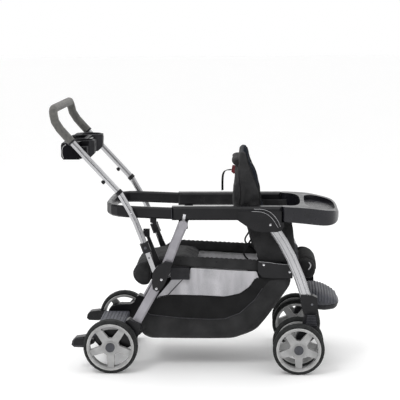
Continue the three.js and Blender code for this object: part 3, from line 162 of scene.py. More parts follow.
SILVER = finish("silver", "a9a9ab", "c4c4c6", 0.27, 18, (900, 0.02), metallic=0.94, stretch=(0.25, 1, 0.25))
GREY_TUBE = finish("grey_tube", "9b999f", "aba9af", 0.42, 22, (700, 0.05), metallic=0.55)
BLACK = finish("black_plastic", "0d0d10", "161619", 0.34, 14, (1200, 0.03), specular=0.3)
GLOSS = finish("gloss_plastic", "09090b", "121216", 0.22, 16, (600, 0.02), specular=0.08)
MATTE = finish("matte_plastic", "1b1b1e", "28282c", 0.58, 40, (1500, 0.12), specular=0.3)
GREY_PLASTIC = finish("grey_plastic", "4b4c53", "606168", 0.6, 30, (1300, 0.12), specular=0.3)
# Light grey rim plastic, also for the organizer's line of painted highlight
RIM_AND_HIGHLIGHT = finish("rim_plastic", "9b9b9b", "b4b4b4", 0.38, 30, (1100, 0.05), metallic=0.12)
# Lighter copy of the rim plastic for the rim lip rings: painted highlight on the rolled lip
LIP_PAINTED_HIGHLIGHT = finish("rim_lip_painted_highlight", "b0b0af", "c6c6c5", 0.34, 30, (1100, 0.05), metallic=0.12)
# Dark grey plastic, also for the pedal outline that is a painted highlight
CAP_AND_HIGHLIGHT = finish("cap_plastic_and_highlight", "3b3c41", "4c4d53", 0.45, 50, (1300, 0.06), specular=0.35)
TYRE = finish("tyre", "212222", "313232", 0.85, 45, (500, 0.35), specular=0.25)
# Lighter copy of the tyre rubber for the tread rings: painted highlight along the tread
TREAD_PAINTED_HIGHLIGHT = finish("tyre_tread_painted_highlight", "363737", "484949", 0.85, 45, (500, 0.35), specular=0.25)
FOAM = finish("grip_foam", "535251", "6a6965", 0.93, 70, (650, 0.5), sheen=0.15)
# Darker steel, also for the darker lines along the legs and handle tubes, which are painted shade
STEEL_AND_SHADE = finish("axle_steel", "56575c", "7c7d82", 0.35, 60, (800, 0.04), metallic=0.85)
# Bright chrome, also for the bright lines along the legs and handle tubes, which are painted highlights
CHROME_AND_HIGHLIGHT = finish("rivet_steel_and_highlight", "b6b6ba", "e2e2e4", 0.2, 90, (900, 0.02), metallic=1.0)
# The tray's black plastic, with its base colour lifted above the armrest's: painted reflection on its glossy
# side
TRAY_PAINTED_REFLECTION = finish("tray_plastic_painted_reflection", "18181d", "222228", 0.3, 14, (1200, 0.03), specular=0.4)
RED = finish("red_plastic", "5f141b", "8d242d", 0.42, 60, (900, 0.06))
FABRIC = finish("fabric", "141415", "1d1d1e", 0.9, 12, (90, 0.6), (26, 1.6), weave=0.0022, specular=0.2,
                sheen=0.05, Sheen_Roughness=0.6)
PANEL = finish("panel_fabric", "1d1d1e", "363637", 0.92, 11, (70, 0.9), (17, 5), weave=0.0022, specular=0.2,
               sheen=0.06, Sheen_Roughness=0.6)
NAVY = finish("liner_fabric", "121620", "1b202b", 0.88, 12, (110, 0.5), weave=0.0018, specular=0.2,
              sheen=0.08)
MESH = finish("light_mesh", "b3b2b6", "dddce0", 0.85, 22, (45, 1.2), stretch=(1, 1, 0.25), holes=0.0032,
              specular=0.2, Alpha=0.8)
PIPING = finish("piping", "343437", "4a4a4d", 0.8, 80, weave=0.0014, specular=0.2)
# Pale piping, and the painted highlight lines across the elbows
PALE = finish("pale_piping_and_highlight", "9c9ca0", "c4c4c6", 0.7, 80, weave=0.0014, specular=0.3)
WEBBING = finish("webbing", "121213", "1c1c1f", 0.8, 60, weave=0.0016, specular=0.2)
FLOOR = finish("floor", "fdfdfd", "ffffff", 0.8, 1.5, (60, 0.1))

# Mesh building


def cleaned(mesh, merge=False):
    """Joins points that share a place, where that is asked for, and turns every face outward."""
    work = bmesh.new()
    work.from_mesh(mesh)
    if merge:
        bmesh.ops.remove_doubles(work, verts=work.verts, dist=0.00001)
    bmesh.ops.recalc_face_normals(work, faces=work.faces)
    work.to_mesh(mesh)
    work.free()


def object_from(name, vertices, faces, material, body, crease=35):
    mesh = bpy.data.meshes.new(name)
    mesh.from_pydata([point(*v) for v in vertices], [], faces)
    cleaned(mesh)
    for each in material if isinstance(material, list) else [material]:
        mesh.materials.append(each)
    mesh.shade_smooth()
    mesh.set_sharp_from_angle(angle=math.radians(crease))
    obj = bpy.data.objects.new(name, mesh)
    scene.collection.objects.link(obj)
    if body:
        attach(obj, body)
    return obj


def quads(rows, count, last_meets_first=False, closed=True):
    """The faces between rows of that many points; closed joins each row's end to its start."""
    faces = []
    for r in range(rows if last_meets_first else rows - 1):
        first, following = r * count, (r + 1) % rows * count
        for k in range(count if closed else count - 1):
            onward = (k + 1) % count
            faces.append((first + k, first + onward, following + onward, following + k))
    return faces


def lofted(name, rings, material, body, crease=35):
    """A closed skin over rings of points, with both ends capped."""
    count = len(rings[0])
    total = len(rings) * count
    faces = quads(len(rings), count) + [tuple(range(count))[::-1], tuple(range(total - count, total))]
    return object_from(name, [v for ring in rings for v in ring], faces, material, body, crease)


def turns(count):
    """The angles of that many equal steps round a circle."""
    return [2 * math.pi * k / count for k in range(count)]


def squared(value, power):
    """A sine or cosine pushed toward its ends by a power below one, which squares off a round section."""
    return math.copysign(abs(value) ** power, value)


def smoothed(points, steps=6, closed=False):
    """A curve through the points, with that many steps from each to the next."""
    points = [Vector(p) for p in points]
    count = len(points)
    result = []
    for k in range(count if closed else count - 1):
        near = (k - 1, k, k + 1, k + 2)
        p = [points[n % count if closed else min(max(n, 0), count - 1)] for n in near]
        bend = 2 * p[0] - 5 * p[1] + 4 * p[2] - p[3]
        twist = 3 * p[1] - p[0] - 3 * p[2] + p[3]
        for step in range(steps):
            t = step / steps
            result.append(0.5 * (2 * p[1] + (p[2] - p[0]) * t + bend * t * t + twist * t ** 3))
    return result if closed else result + points[-1:]


def along(points):
    """The direction at each point of a path."""
    last = len(points) - 1
    return [(points[min(k + 1, last)] - points[max(k - 1, 0)]).normalized() for k in range(last + 1)]


def tube(name, path, radius, material, body, sides=10, closed=False):
    path = [Vector(p) for p in (path + path[:1] if closed else path)]
    directions = along(path)
    if closed:
        directions[0] = directions[-1] = (path[1] - path[-2]).normalized()
    up = Vector((0, 0, 1)) if abs(directions[0].z) < 0.9 else Vector((0, 1, 0))
    rings = []
    for place, forward in zip(path, directions):
        up = (up - forward * up.dot(forward)).normalized()
        side = forward.cross(up)
        rings.append([place + radius * (math.cos(a) * up + math.sin(a) * side) for a in turns(sides)])
    return lofted(name, rings, material, body)


# A strap's section: shares of the half width and of the half thickness
STRAP_SECTION = ((1, 0.4), (0.94, 1), (-0.94, 1), (-1, 0.4), (-1, -0.4), (-0.94, -1), (0.94, -1), (1, -0.4))


def ribbon(name, path, width, thickness, across, material, body):
    """A flat strap along a path; across is the way its width lies."""
    path = [Vector(p) for p in path]
    rings = []
    for place, forward in zip(path, along(path)):
        way = Vector(across)
        way = (way - forward * way.dot(forward)).normalized() * width / 2
        out = way.cross(forward).normalized() * thickness / 2
        rings.append([place + way * wide + out * thick for wide, thick in STRAP_SECTION])
    return lofted(name, rings, material, body)


def turned(name, profile, centre, axis, material, body, sides=40, crease=35):
    """A closed profile of (radius, distance along the axis) turned about an axis through the centre."""
    axis = Vector(axis).normalized()
    first = axis.orthogonal().normalized()
    second = axis.cross(first)
    vertices = []
    for a in turns(sides):
        out = first * math.cos(a) + second * math.sin(a)
        vertices += [Vector(centre) + out * r + axis * d for r, d in profile]
    obj = object_from(name, vertices, quads(sides, len(profile), True), material, None, crease)
    cleaned(obj.data, merge=True)
    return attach(obj, body)


def rivet(name, centre, axis, radius, body, material=None, height=None):
    height = height or radius * 0.45
    dome = [(0, -1.0), (radius, -1.0), (radius, height * 0.25), (radius * 0.8, height * 0.75),
            (radius * 0.42, height * 0.95), (0, height)]
    return turned(name, dome, centre, axis, material or CHROME_AND_HIGHLIGHT, body, sides=20)


def block(name, outline, low, high, material, body, edge):
    """An outline of (x, z) raised along Y from one depth to another, with rounded edges."""
    middle = Vector((sum(x for x, z in outline) / len(outline), sum(z for x, z in outline) / len(outline)))
    rings = []
    for depth, drawn in ((low, edge), (low + edge * 0.3, edge * 0.3), (low + edge, 0), (high - edge, 0),
                         (high - edge * 0.3, edge * 0.3), (high, edge)):
        ring = []
        for p in outline:
            away = Vector(p) - middle
            place = middle + away * (max(away.length - drawn, 0.1) / max(away.length, 0.1))
            ring.append((place.x, depth, place.y))
        rings.append(ring)
    return lofted(name, rings, material, body)


def applied(obj):
    """Makes the object's modifiers part of its mesh."""
    fresh = bpy.data.meshes.new_from_object(obj.evaluated_get(bpy.context.evaluated_depsgraph_get()))
    obj.modifiers.clear()
    obj.data = fresh


def subdivided(obj):
    finer = obj.modifiers.new("Finer", "SUBSURF")
    finer.levels = finer.render_levels = 1


def edged(obj, width):
    """Rounds the object's sharp edges."""
    bevel = obj.modifiers.new("Edges", "BEVEL")
    bevel.width = width / 1000
    bevel.segments = 3
    bevel.limit_method = "ANGLE"
    bevel.angle_limit = math.radians(35)
    bevel.harden_normals = True


# Padded fabric


VOXEL = 0.006
CLOTH_SETTINGS = {
    "quality": 4, "mass": 0.3, "tension_stiffness": 12, "compression_stiffness": 12, "bending_stiffness": 0.4,
    "use_pressure": True, "shrink_min": -0.03,
}
CLOTH_FRAMES = 20


def inflated(obj, cap, pressure, pinned):
    """Remeshes a closed form and blows it up as cloth held at its seams; no point moves further than cap."""
    remesh = obj.modifiers.new("Remesh", "REMESH")
    remesh.mode = "VOXEL"
    remesh.voxel_size = VOXEL
    materials = list(obj.data.materials)
    applied(obj)
    obj.data.materials.clear()
    for each in materials:
        obj.data.materials.append(each)
    smoother = obj.modifiers.new("Smooth", "SMOOTH")
    smoother.iterations = 3
    smoother.factor = 0.5
    applied(obj)
    start = [v.co.copy() for v in obj.data.vertices]
    cloth = obj.modifiers.new("Cloth", "CLOTH")
    for setting, value in CLOTH_SETTINGS.items():
        setattr(cloth.settings, setting, value)
    cloth.settings.uniform_pressure_force = pressure
    cloth.settings.effector_weights.gravity = 0
    cloth.collision_settings.use_self_collision = False
    cloth.point_cache.frame_start = 1
    cloth.point_cache.frame_end = CLOTH_FRAMES
    group = obj.vertex_groups.new(name="seams")
    for index, place in enumerate(start):
        held = pinned(millimetres(place))
        if held > 0:
            group.add([index], held, "REPLACE")
    cloth.settings.vertex_group_mass = "seams"
    for number in range(1, CLOTH_FRAMES + 1):
        scene.frame_set(number)
    swollen = obj.evaluated_get(bpy.context.evaluated_depsgraph_get()).to_mesh()
    moved = [v.co.copy() for v in swollen.vertices]
    obj.modifiers.clear()
    scene.frame_set(1)
    for vertex, before, after in zip(obj.data.vertices, start, moved):
        shift = after - before
        if shift.length > cap:
            shift *= cap / shift.length
        vertex.co = before + shift
    obj.vertex_groups.clear()
    obj.data.shade_smooth()
    subdivided(obj)
    return obj


def upholstery(obj, body, node):
    """A padded piece of fabric on a body, in place of a CAD node if it has one."""
    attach(obj, body)
    if node:
        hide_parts(node)


def settled(points, cloth, lift=0.6):
    """The points moved onto the nearest skin of a cloth."""
    faces = [p.vertices[:] for p in cloth.data.polygons]
    skin = BVHTree.FromPolygons([v.co for v in cloth.data.vertices], faces)
    found = []
    for p in points:
        place, normal, *_ = skin.find_nearest(point(*p))
        found.append(tuple(millimetres(place + normal * lift / 1000)))
    return found


def wrinkled(obj, depth, scale, stretch, where):
    """Moves each point along its normal by noise, up to a depth that where() weighs from place to place."""
    for vertex in obj.data.vertices:
        place = millimetres(vertex.co)
        amount = noise.fractal(place * Vector(stretch) / scale, 0.9, 2.1, 3) * depth * where(place)
        vertex.co += vertex.normal * amount / 1000


# Camera, floor and light

CAMERA_LENS = 111.36
CAMERA_PLACE = (0.26227, -4.8109, 1.3844)
CAMERA_TURN = (81.11088, 0.52145, 2.96817)
FLOOR_REACH = 30
FLOOR_LIFT = 0.07

camera = bpy.data.objects.new("camera", bpy.data.cameras.new("camera"))
scene.collection.objects.link(camera)
camera.data.lens = CAMERA_LENS
camera.data.sensor_width = 36
camera.location = CAMERA_PLACE
camera.rotation_euler = [math.radians(angle) for angle in CAMERA_TURN]
scene.camera = camera

floor = bpy.data.objects.new("floor", bpy.data.meshes.new("floor"))
ground = [(x * FLOOR_REACH, y * FLOOR_REACH, 0) for x, y in ((-1, -1), (1, -1), (1, 1), (-1, 1))]
floor.data.from_pydata(ground, [], [(0, 1, 2, 3)])
shade = FLOOR.node_tree
floor_inputs = shade.nodes["Principled BSDF"].inputs
rays = shade.nodes.new("ShaderNodeLightPath").outputs
seen = math_node(shade, "MAXIMUM", rays["Is Camera Ray"], rays["Is Glossy Ray"])
shade.links.new(math_node(shade, "MULTIPLY", seen, FLOOR_LIFT), floor_inputs["Emission Strength"])
floor_inputs["Emission Color"].default_value = (1, 1, 1, 1)
floor.data.materials.append(FLOOR)
scene.collection.objects.link(floor)

# The sky brightens toward the far side and overhead
world = bpy.data.worlds.new("studio")
world.use_nodes = True
sky = world.node_tree
heading = sky.nodes.new("ShaderNodeSeparateXYZ")
sky.links.new(sky.nodes.new("ShaderNodeTexCoord").outputs["Generated"], heading.inputs[0])
toward = math_node(sky, "ADD", heading.outputs["Y"], heading.outputs["Z"])
sky.links.new(ranged(sky, toward, 0.3, 1.0, -0.6, 0.3), sky.nodes["Background"].inputs["Color"])
sky.nodes["Background"].inputs["Strength"].default_value = 1.0
scene.world = world
scene.view_settings.view_transform = "Standard"


def lamp(name, place, aim, size, power):
    data = bpy.data.lights.new(name, "AREA")
    data.shape = "DISK"
    data.size = size
    data.energy = power
    obj = bpy.data.objects.new(name, data)
    obj.location = place
    obj.rotation_euler = (Vector(aim) - Vector(place)).to_track_quat("-Z", "Y").to_euler()
    scene.collection.objects.link(obj)


lamp("key", (-1.4, -2.2, 3.6), (0, 0, 0.5), 1.3, 36)
lamp("fill", (2.8, -2.2, 1.8), (0, 0, 0.4), 2.2, 7)
lamp("top", (0.3, 0.4, 3.6), (0, 0, 0.5), 1.8, 14)
lamp("rear", (-1.0, 3.0, 2.2), (0, 0, 0.5), 2.0, 8)

# Rigid nodes keep their shape and get rounded edges

DRESS = {
    "armrest": (BLACK, 2.5), "rear_grab_bar": (BLACK, 2.5), "front_leg": (SILVER, 2),
    "leg_socket": (BLACK, 3), "front_cross_tube": (SILVER, 0), "seat_plate": (BLACK, 3),
    "bench_pan": (MATTE, 3), "bench_post": (BLACK, 2), "harness_buckle": (BLACK, 2), "recline_tab": (RED, 2),
    "rear_leg": (GREY_TUBE, 2), "leg_bracket": (BLACK, 3.5), "lock_bar": (SILVER, 2),
    "axle_housing": (BLACK, 3.5), "rear_axle": (CAP_AND_HIGHLIGHT, 1), "standing_platform": (GREY_PLASTIC, 3),
    "brake_pedal": (BLACK, 4), "rear_rim": (RIM_AND_HIGHLIGHT, 1.2), "rear_tyre": (TYRE, 2.5), "caster_fork": (MATTE, 3.5),
    "front_axle": (CAP_AND_HIGHLIGHT, 1), "front_rim": (RIM_AND_HIGHLIGHT, 1.2), "front_tyre": (TYRE, 2.5), "handle_tube": (SILVER, 0),
    "handle_grip": (FOAM, 3), "parent_organizer": (GLOSS, 4), "latch": (BLACK, 1.5),
}
REPLACED = ("child_tray", "footrest", "basket", "front_seat", "calf_roll", "seat_back", "recline_strap",
            "bench_cushion", "seat_rail", "shoulder_pad")
for name, node in nodes.items():
    if name.startswith(REPLACED):
        continue
    key = next(k for k in sorted(DRESS, key=len, reverse=True) if name.startswith(k))
    material, width = DRESS[key]
    node.data.materials.clear()
    node.data.materials.append(material)
    node.data.shade_smooth()
    node.data.set_sharp_from_angle(angle=math.radians(50))
    if width:
        edged(node, width)

# Padded and sewn pieces


def height_at(line, x):
    """The height of a line of (place, height) points, straight between them."""
    if x <= line[0][0]:
        return line[0][1]
    for (x0, z0), (x1, z1) in zip(line, line[1:]):
        if x <= x1:
            return z0 + (z1 - z0) * (x - x0) / (x1 - x0)
    return line[-1][1]


def boxed(shares, corner, size):
    return [(corner[0] + s * size[0], corner[1] + t * size[1]) for s, t in shares]


def curved(outline, steps=4):
    return [(p.x, p.y) for p in smoothed([(x, z, 0) for x, z in outline], steps, closed=True)]


def inset(outline, distance):
    """A closed outline moved in along its corner normals."""
    following = outline[1:] + outline[:1]
    sign = 1 if sum(x * b - a * z for (x, z), (a, b) in zip(outline, following)) > 0 else -1
    result = []
    for k, (x, z) in enumerate(outline):
        way = Vector(following[k]) - Vector(outline[k - 1])
        out = Vector((way.y, -way.x)).normalized() * sign
        result.append((x - out.x * distance, z - out.y * distance))
    return result


def grown(outline, middle, ahead, above):
    """An outline of (x, z) scaled about a point, by one factor along X and one in height."""
    return [(middle[0] + (x - middle[0]) * ahead, middle[1] + (z - middle[1]) * above) for x, z in outline]


# A pad's stations from its end to its middle: place, then size; its length draws in less than its height
PAD_ENDS = [(1.0, 0.72), (0.985, 0.84), (0.94, 0.94), (0.84, 0.985), (0.6, 1.0), (0.3, 1.0), (0.0, 1.0)]
PAD_DRAW = 0.67


def pad(name, outline, width, seat, material, seams, cap, start=3.0):
    """A cushion of one outline across its width, drawn in to its seat at both ends, then blown up."""
    slim = inset(curved(outline), start)
    rings = []
    for place, size in [(-p, s) for p, s in PAD_ENDS] + PAD_ENDS[:-1][::-1]:
        section = grown(slim, seat, 1 - PAD_DRAW * (1 - size), size)
        rings.append([(x, place * (width / 2 - start), z) for x, z in section])
    return inflated(lofted(name, rings, material, None), cap, 4.0, seams)


BENCH_SEAT = (160, 397)
BENCH = boxed([
    (1.0, 0.752), (1.0, 0.881), (0.926, 0.972), (0.678, 1.0), (0.43, 0.972), (0.223, 0.899), (0.083, 0.771),
    (0.008, 0.55), (0.0, 0.349), (0.041, 0.147), (0.132, 0.0), (0.223, 0.0), (0.277, 0.11), (0.293, 0.339),
    (0.306, 0.606), (0.347, 0.752),
], (76, 315.1), (242, 109))


def bench_seams(p):
    ring = max(0.0, 1 - abs(abs(p.y) - 126) / 6)
    cross = max(0.0, 1 - math.hypot(p.x - 118, p.z - 412) / 9)
    under = 1.0 if p.z < 402 and p.x > 160 else 0.0
    return min(1.0, max(ring, cross, under))


bench = pad("bench_pad", BENCH, 276, BENCH_SEAT, PANEL, bench_seams, 0.009)
upholstery(bench, "front_frame", "bench_cushion")
for side, name in SIDES:
    loop = [(x, side * 127, z) for x, z in grown(inset(curved(BENCH), 2.2), BENCH_SEAT, 0.965, 0.95)]
    tube(f"bench_piping_{name}", loop, 2.3, PIPING, "front_frame", 8, True)

CALF = boxed([
    (0.0, 0.867), (0.32, 1.0), (0.613, 0.94), (0.88, 0.771), (1.0, 0.518), (0.933, 0.193), (0.693, 0.0),
    (0.427, 0.024), (0.227, 0.193), (0.08, 0.506),
], (712.9, 342.1), (75, 83))
CALF_SEAT = (712.9, 383.6)
TRIM_CENTRE, TRIM_RADIUS, TRIM_START, TRIM_STEP = (742, 402), 23, 0.62, 0.155


def calf_seams(p):
    return max(0.0, 1 - abs(abs(p.y) - 134) / 6)


calf = pad("calf_pad", CALF, 296, CALF_SEAT, FABRIC, calf_seams, 0.008)
upholstery(calf, "front_frame", "calf_roll")
for side, name in SIDES:
    arc = []
    for angle in (TRIM_START - TRIM_STEP * k for k in range(11)):
        x, z = TRIM_CENTRE[0] + TRIM_RADIUS * math.cos(angle), TRIM_CENTRE[1] + TRIM_RADIUS * math.sin(angle)
        arc.append((x, side * 147, z))
    tube(f"calf_trim_{name}", settled(arc, calf, 0), 2.3, PALE, "front_frame", 8)

# Seat back: a shell with wings

BACK_LOW, BACK_HEIGHT, BACK_START, BACK_LEAN, BACK_HALF = 446.4, 405, 458.9, 128, 146
# Shares of the height, then of the lean for the rear, the lining and the wing tip, then of the half width
BACK = [
    (0.0, 0.703, 1.0, 1.17, 0.95), (0.241, 0.516, 0.805, 1.078, 1.0), (0.448, 0.078, 0.516, 0.93, 1.0),
    (0.642, 0.109, 0.453, 0.812, 0.99), (0.806, 0.172, 0.36, 0.6, 0.96), (0.878, 0.2, 0.35, 0.53, 0.94),
    (0.925, 0.225, 0.36, 0.485, 0.92), (0.97, 0.24, 0.36, 0.44, 0.9), (1.0, 0.25, 0.35, 0.41, 0.87),
]
tab_low, tab_high = corners_of("recline_tab")
TAB_HEIGHT = (tab_low.z + tab_high.z) / 2
# Half of the back's section: share of the half width, share of the way to the wing tip, and 1 on the inside
SECTION = [
    (0.0, 0.0, 0), (0.6, 0.0, 0), (0.9, 0.12, 0), (1.0, 0.4, 0), (0.99, 0.9, 0), (0.93, 1.0, 1),
    (0.85, 0.8, 1), (0.78, 0.2, 1), (0.6, 0.0, 1), (0.0, 0.0, 1),
]


def back_at(z):
    """Rear, front, wing tip and half width of the seat back at a height."""
    share = (z - BACK_LOW) / BACK_HEIGHT
    *found, half = (height_at([(row[0], row[column]) for row in BACK], share) for column in range(1, 5))
    rear, front, wing = (BACK_START + value * BACK_LEAN for value in found)
    return rear, front, wing, half * BACK_HALF


def back_ring(z, slim):
    rear, front, wing, half = back_at(z)
    side = []
    for across, depth, inside in SECTION:
        first = front - slim if inside else rear + slim
        side.append((first + depth * (wing - slim - first), across * (half - slim), z))
    whole = side + [(x, -y, z) for x, y, z in side[1:-1][::-1]]
    return smoothed(whole, 3, closed=True)


heights = []
for (low, *_), (high, *_) in zip(BACK, BACK[1:]):
    steps = max(1, round((high - low) * BACK_HEIGHT / 22))
    heights += [low + (high - low) * k / steps for k in range(steps)]
heights = [BACK_LOW + 2.5 + share * (BACK_HEIGHT - 18) for share in heights + [1.0]]
shell = lofted("seat_back_pad", [back_ring(z, 3 if z < 790 else 1.5) for z in heights], [PANEL, NAVY], None)


def back_seams(p):
    rear, front, wing, half = back_at(p.z)
    tip = max(0.0, 1 - abs(p.x - wing + 3) / 6) if abs(p.y) > 0.86 * half else 0.0
    corner = max(0.0, 1 - math.hypot(p.x - rear - 0.14 * (wing - rear), abs(p.y) - 0.93 * half) / 8)
    lining = max(0.0, 1 - math.hypot(p.x - front, abs(p.y) - 0.68 * half) / 8)
    ends = 1.0 if p.z < BACK_LOW + 7 or p.z > BACK_LOW + BACK_HEIGHT - 43 else 0.0
    tab = max(0.0, min(1.0, 2 - math.hypot(p.y, p.z - TAB_HEIGHT) / 24)) if p.x < rear + 12 else 0.0
    return min(1.0, max(tip, corner, lining, ends, tab))


inflated(shell, 0.008, 3.0, back_seams)
wrinkled(shell, 8.0, 34, (1, 1, 0.45), lambda p: 1.0 if abs(p.y) > 118 and p.z < 780 else 0.25)
for polygon in shell.data.polygons:
    place = millimetres(polygon.center)
    rear, front, _, half = back_at(place.z)
    if abs(place.y) < 0.9 * half and place.x > (rear + front) / 2:
        polygon.material_index = 1
upholstery(shell, "reclining_back", "seat_back")
FLAP = curved([(500, 806), (486, 811), (474, 810), (465, 804), (463, 797), (467, 789), (476, 780), (487, 768),
               (500, 764)], 3)
FLAP_MIDDLE, FLAP_HALF = (492, 794), 116
flap_rings = []
for number in range(25):
    across = -1 + number / 12
    droop = 4 * math.sin(across * 5) - 9 * across ** 6
    size = 1 - 0.28 * across ** 8
    ring = []
    for x, z in FLAP:
        ahead, above = x - FLAP_MIDDLE[0], z - FLAP_MIDDLE[1]
        ring.append((FLAP_MIDDLE[0] + ahead * size + 2 * math.sin(across * 9), across * FLAP_HALF,
                     FLAP_MIDDLE[1] + above * size - droop * ahead / 30))
    flap_rings.append(ring)
flap = lofted("seat_back_flap", flap_rings, PANEL, None)
flap.data.shade_smooth()
upholstery(flap, "reclining_back", None)
for side, name in SIDES:
    edge = []
    for z in [BACK_LOW + 6 + k * 13 for k in range(30)]:
        *_, wing, half = back_at(z)
        edge.append((wing + 6, side * (half * 0.96 - 1), z))
    tube(f"wing_piping_{name}", smoothed(settled(edge, shell), 2), 2.4, FABRIC, "reclining_back", 8)
    seam = []
    for z in [BACK_LOW + 8 + k * 12 for k in range(27)]:
        rear, _, wing, half = back_at(z)
        seam.append((rear + 0.16 * (wing - rear) + 1, side * (half * 0.94 + 4), z))
    tube(f"back_seam_{name}", smoothed(settled(seam, shell), 2), 1.5, FABRIC, "reclining_back", 8)

# Front seat: the base pad and a cloth panel at each side

SEAT = boxed([(0.0, 0.294), (1.0, 0.0), (1.0, 0.647), (0.76, 0.853), (0.227, 1.0), (0.0, 0.971)],
             (562.6, 411.8), (150, 34))


def seat_seams(p):
    return 1.0 if p.z < 413 + (712 - p.x) * 0.03 or abs(p.y) > 140 else 0.0


base = pad("seat_pad", SEAT, 300, (637, 428), NAVY, seat_seams, 0.006, 2.0)
upholstery(base, "front_frame", "front_seat")
hem = [(713.5 + math.sin(y / 17), y, 417.5 + 1.2 * math.sin(y / 23 + 1)) for y in range(-144, 145, 6)]
seat_hem = tube("seat_hem", hem, 8, PANEL, "front_frame", 16)
# The side panel's rear and front edges, as shares of its length at shares of its height
PANEL_REAR = [(0.0, 0.315), (0.025, 0.315), (0.232, 0.262), (0.672, 0.13), (1.0, 0.0)]
PANEL_FRONT = [(0.0, 1.0), (0.333, 0.963), (0.72, 0.926), (0.79, 0.85), (1.0, 0.84)]
PANEL_START, PANEL_LENGTH, PANEL_LOW, PANEL_HEIGHT, PANEL_SIDE = 496.6, 216, 412.1, 198, 153.2
PANEL_COLUMNS, PANEL_ROWS = 30, 28


def panel_point(side, face, s, t):
    """A point of the side panel at shares of its length and height; face is 1 outside and -1 inside."""
    z = PANEL_LOW + PANEL_HEIGHT * t
    rear = PANEL_START + PANEL_LENGTH * height_at(PANEL_REAR, t) + 1
    front = PANEL_START + PANEL_LENGTH * height_at(PANEL_FRONT, t) - 1
    x = rear + (front - rear) * s
    rim = min(s, 1 - s, t, 1 - t) * 8
    thick = 1.2 + 3.6 * min(1.0, rim) ** 0.5
    fold = 1.4 * math.sin((x - 0.55 * z) / 15) * min(1, rim)
    fold += 1.6 * noise.fractal(Vector((x / 34, side * 3, z / 60)), 0.9, 2, 3) * min(1, rim)
    seam = 1.6 * math.exp(-((x - 566 - 0.06 * (z - 500)) / 3.2) ** 2)
    y = PANEL_SIDE + face * (thick - (seam if face > 0 else 0)) + fold * 0.7
    return x, side * y, z


for side, name in SIDES:
    vertices = [panel_point(side, face, c / PANEL_COLUMNS, r / PANEL_ROWS) for face in (1, -1)
                for r in range(PANEL_ROWS + 1) for c in range(PANEL_COLUMNS + 1)]
    wide = PANEL_COLUMNS + 1
    layer = (PANEL_ROWS + 1) * wide
    outside = quads(PANEL_ROWS + 1, wide, closed=False)
    faces = outside + [tuple(corner + layer for corner in face) for face in outside]
    border = list(range(PANEL_COLUMNS)) + [r * wide + PANEL_COLUMNS for r in range(PANEL_ROWS)]
    border += [PANEL_ROWS * wide + c for c in range(PANEL_COLUMNS, 0, -1)]
    border += [r * wide for r in range(PANEL_ROWS, 0, -1)]
    for a, b in zip(border, border[1:] + border[:1]):
        faces.append((a, b, b + layer, a + layer))
    panel = object_from(f"seat_side_{name}", vertices, faces, PANEL, None, 60)
    subdivided(panel)
    upholstery(panel, "front_frame", None)

# Rail sleeves

RAIL_START, RAIL_SIDE, SLEEVE_LOW, SLEEVE_HIGH, SLEEVE_STEPS = 205, 165, 205.6, 561.4, 120


def rail_low(x):
    return 402.97 - (x - RAIL_START) * 0.0615


def rail_high(x):
    return 446 - (x - RAIL_START) * 0.0504


for side, name in SIDES:
    rings = []
    for k in range(SLEEVE_STEPS + 1):
        x = SLEEVE_LOW + (SLEEVE_HIGH - SLEEVE_LOW) * k / SLEEVE_STEPS
        end = min(1.0, min(k, SLEEVE_STEPS - k) / 4)
        low, high = rail_low(x) + 0.6, rail_high(x) - 0.6
        gather = 1.6 * noise.noise(Vector((x / 9, side * 5, 0))) + 1.1 * math.sin(x / 2.9) * end
        middle, tall = (low + high) / 2, (high - low) / 2 * (0.88 + 0.12 * end)
        ring = []
        for s, a in enumerate(turns(16)):
            y = 7.6 * squared(math.cos(a), 0.55) * (0.8 + 0.2 * end)
            y += 0.5 * noise.noise(Vector((x / 16, s * 1.7, side)))
            z = middle + (tall + (gather - 2.2 if math.sin(a) > 0.6 else 0)) * squared(math.sin(a), 0.7)
            ring.append((x, side * (RAIL_SIDE + max(-7.8, min(7.8, y))), z))
        rings.append(ring)
    sleeve = lofted(f"rail_sleeve_{name}", rings, PANEL, None, 60)
    upholstery(sleeve, "front_frame", f"seat_rail_{name}")
    for number, (x, z) in enumerate(((270.9, 421.6), (405, 417.7), (540, 411))):
        stud = (x, side * 172.6, z)
        rivet(f"sleeve_stud_{number}_{name}", stud, (0, side, 0), 4.2, "front_frame", BLACK, 1.6)

# Basket: black cloth with a light mesh window at each side, a piped seam and a gathered rear end

BASKET_CORNER, BASKET_SIZE = (96, 112), (596, 281)
FLOOR_LINE = boxed([
    (0.0, 0.29), (0.012, 0.15), (0.03, 0.06), (0.07, 0.007), (0.148, 0.0), (0.567, 0.0), (0.664, 0.036),
    (0.762, 0.122), (0.82, 0.248), (0.866, 0.37), (0.936, 0.58), (1.0, 0.785),
], BASKET_CORNER, BASKET_SIZE)
FLOOR_LINE = [(x, z) for x, _, z in smoothed([(x, 0, z) for x, z in FLOOR_LINE], 4)]
REAR_EDGE = boxed([(0.0, 0.345), (0.07, 0.46), (0.148, 0.64), (0.222, 0.83)], BASKET_CORNER, BASKET_SIZE)
SEAM_LINE = [(96, 199), (108, 226), (119, 231), (146, 211), (261, 199), (377, 194), (435, 196), (493, 219),
             (550, 271), (589, 330), (606, 352), (692, 354)]
WINDOW_LOW = [(174, 278), (216, 288), (281, 288), (358, 286), (435, 282), (493, 294), (531, 321), (562, 367)]
WINDOW_START, WINDOW_END, WINDOW_SLANT = 174, 562, 232
# The cloth hangs under the bench pan, then from the rails, then under the seat plates
PAN_START, PAN_END, PAN_UNDERSIDE, RAIL_END, PLATE_UNDERSIDE = 227.4, 301.3, 350.2, 561.7, 355.4
FLOOR_HALF = 150


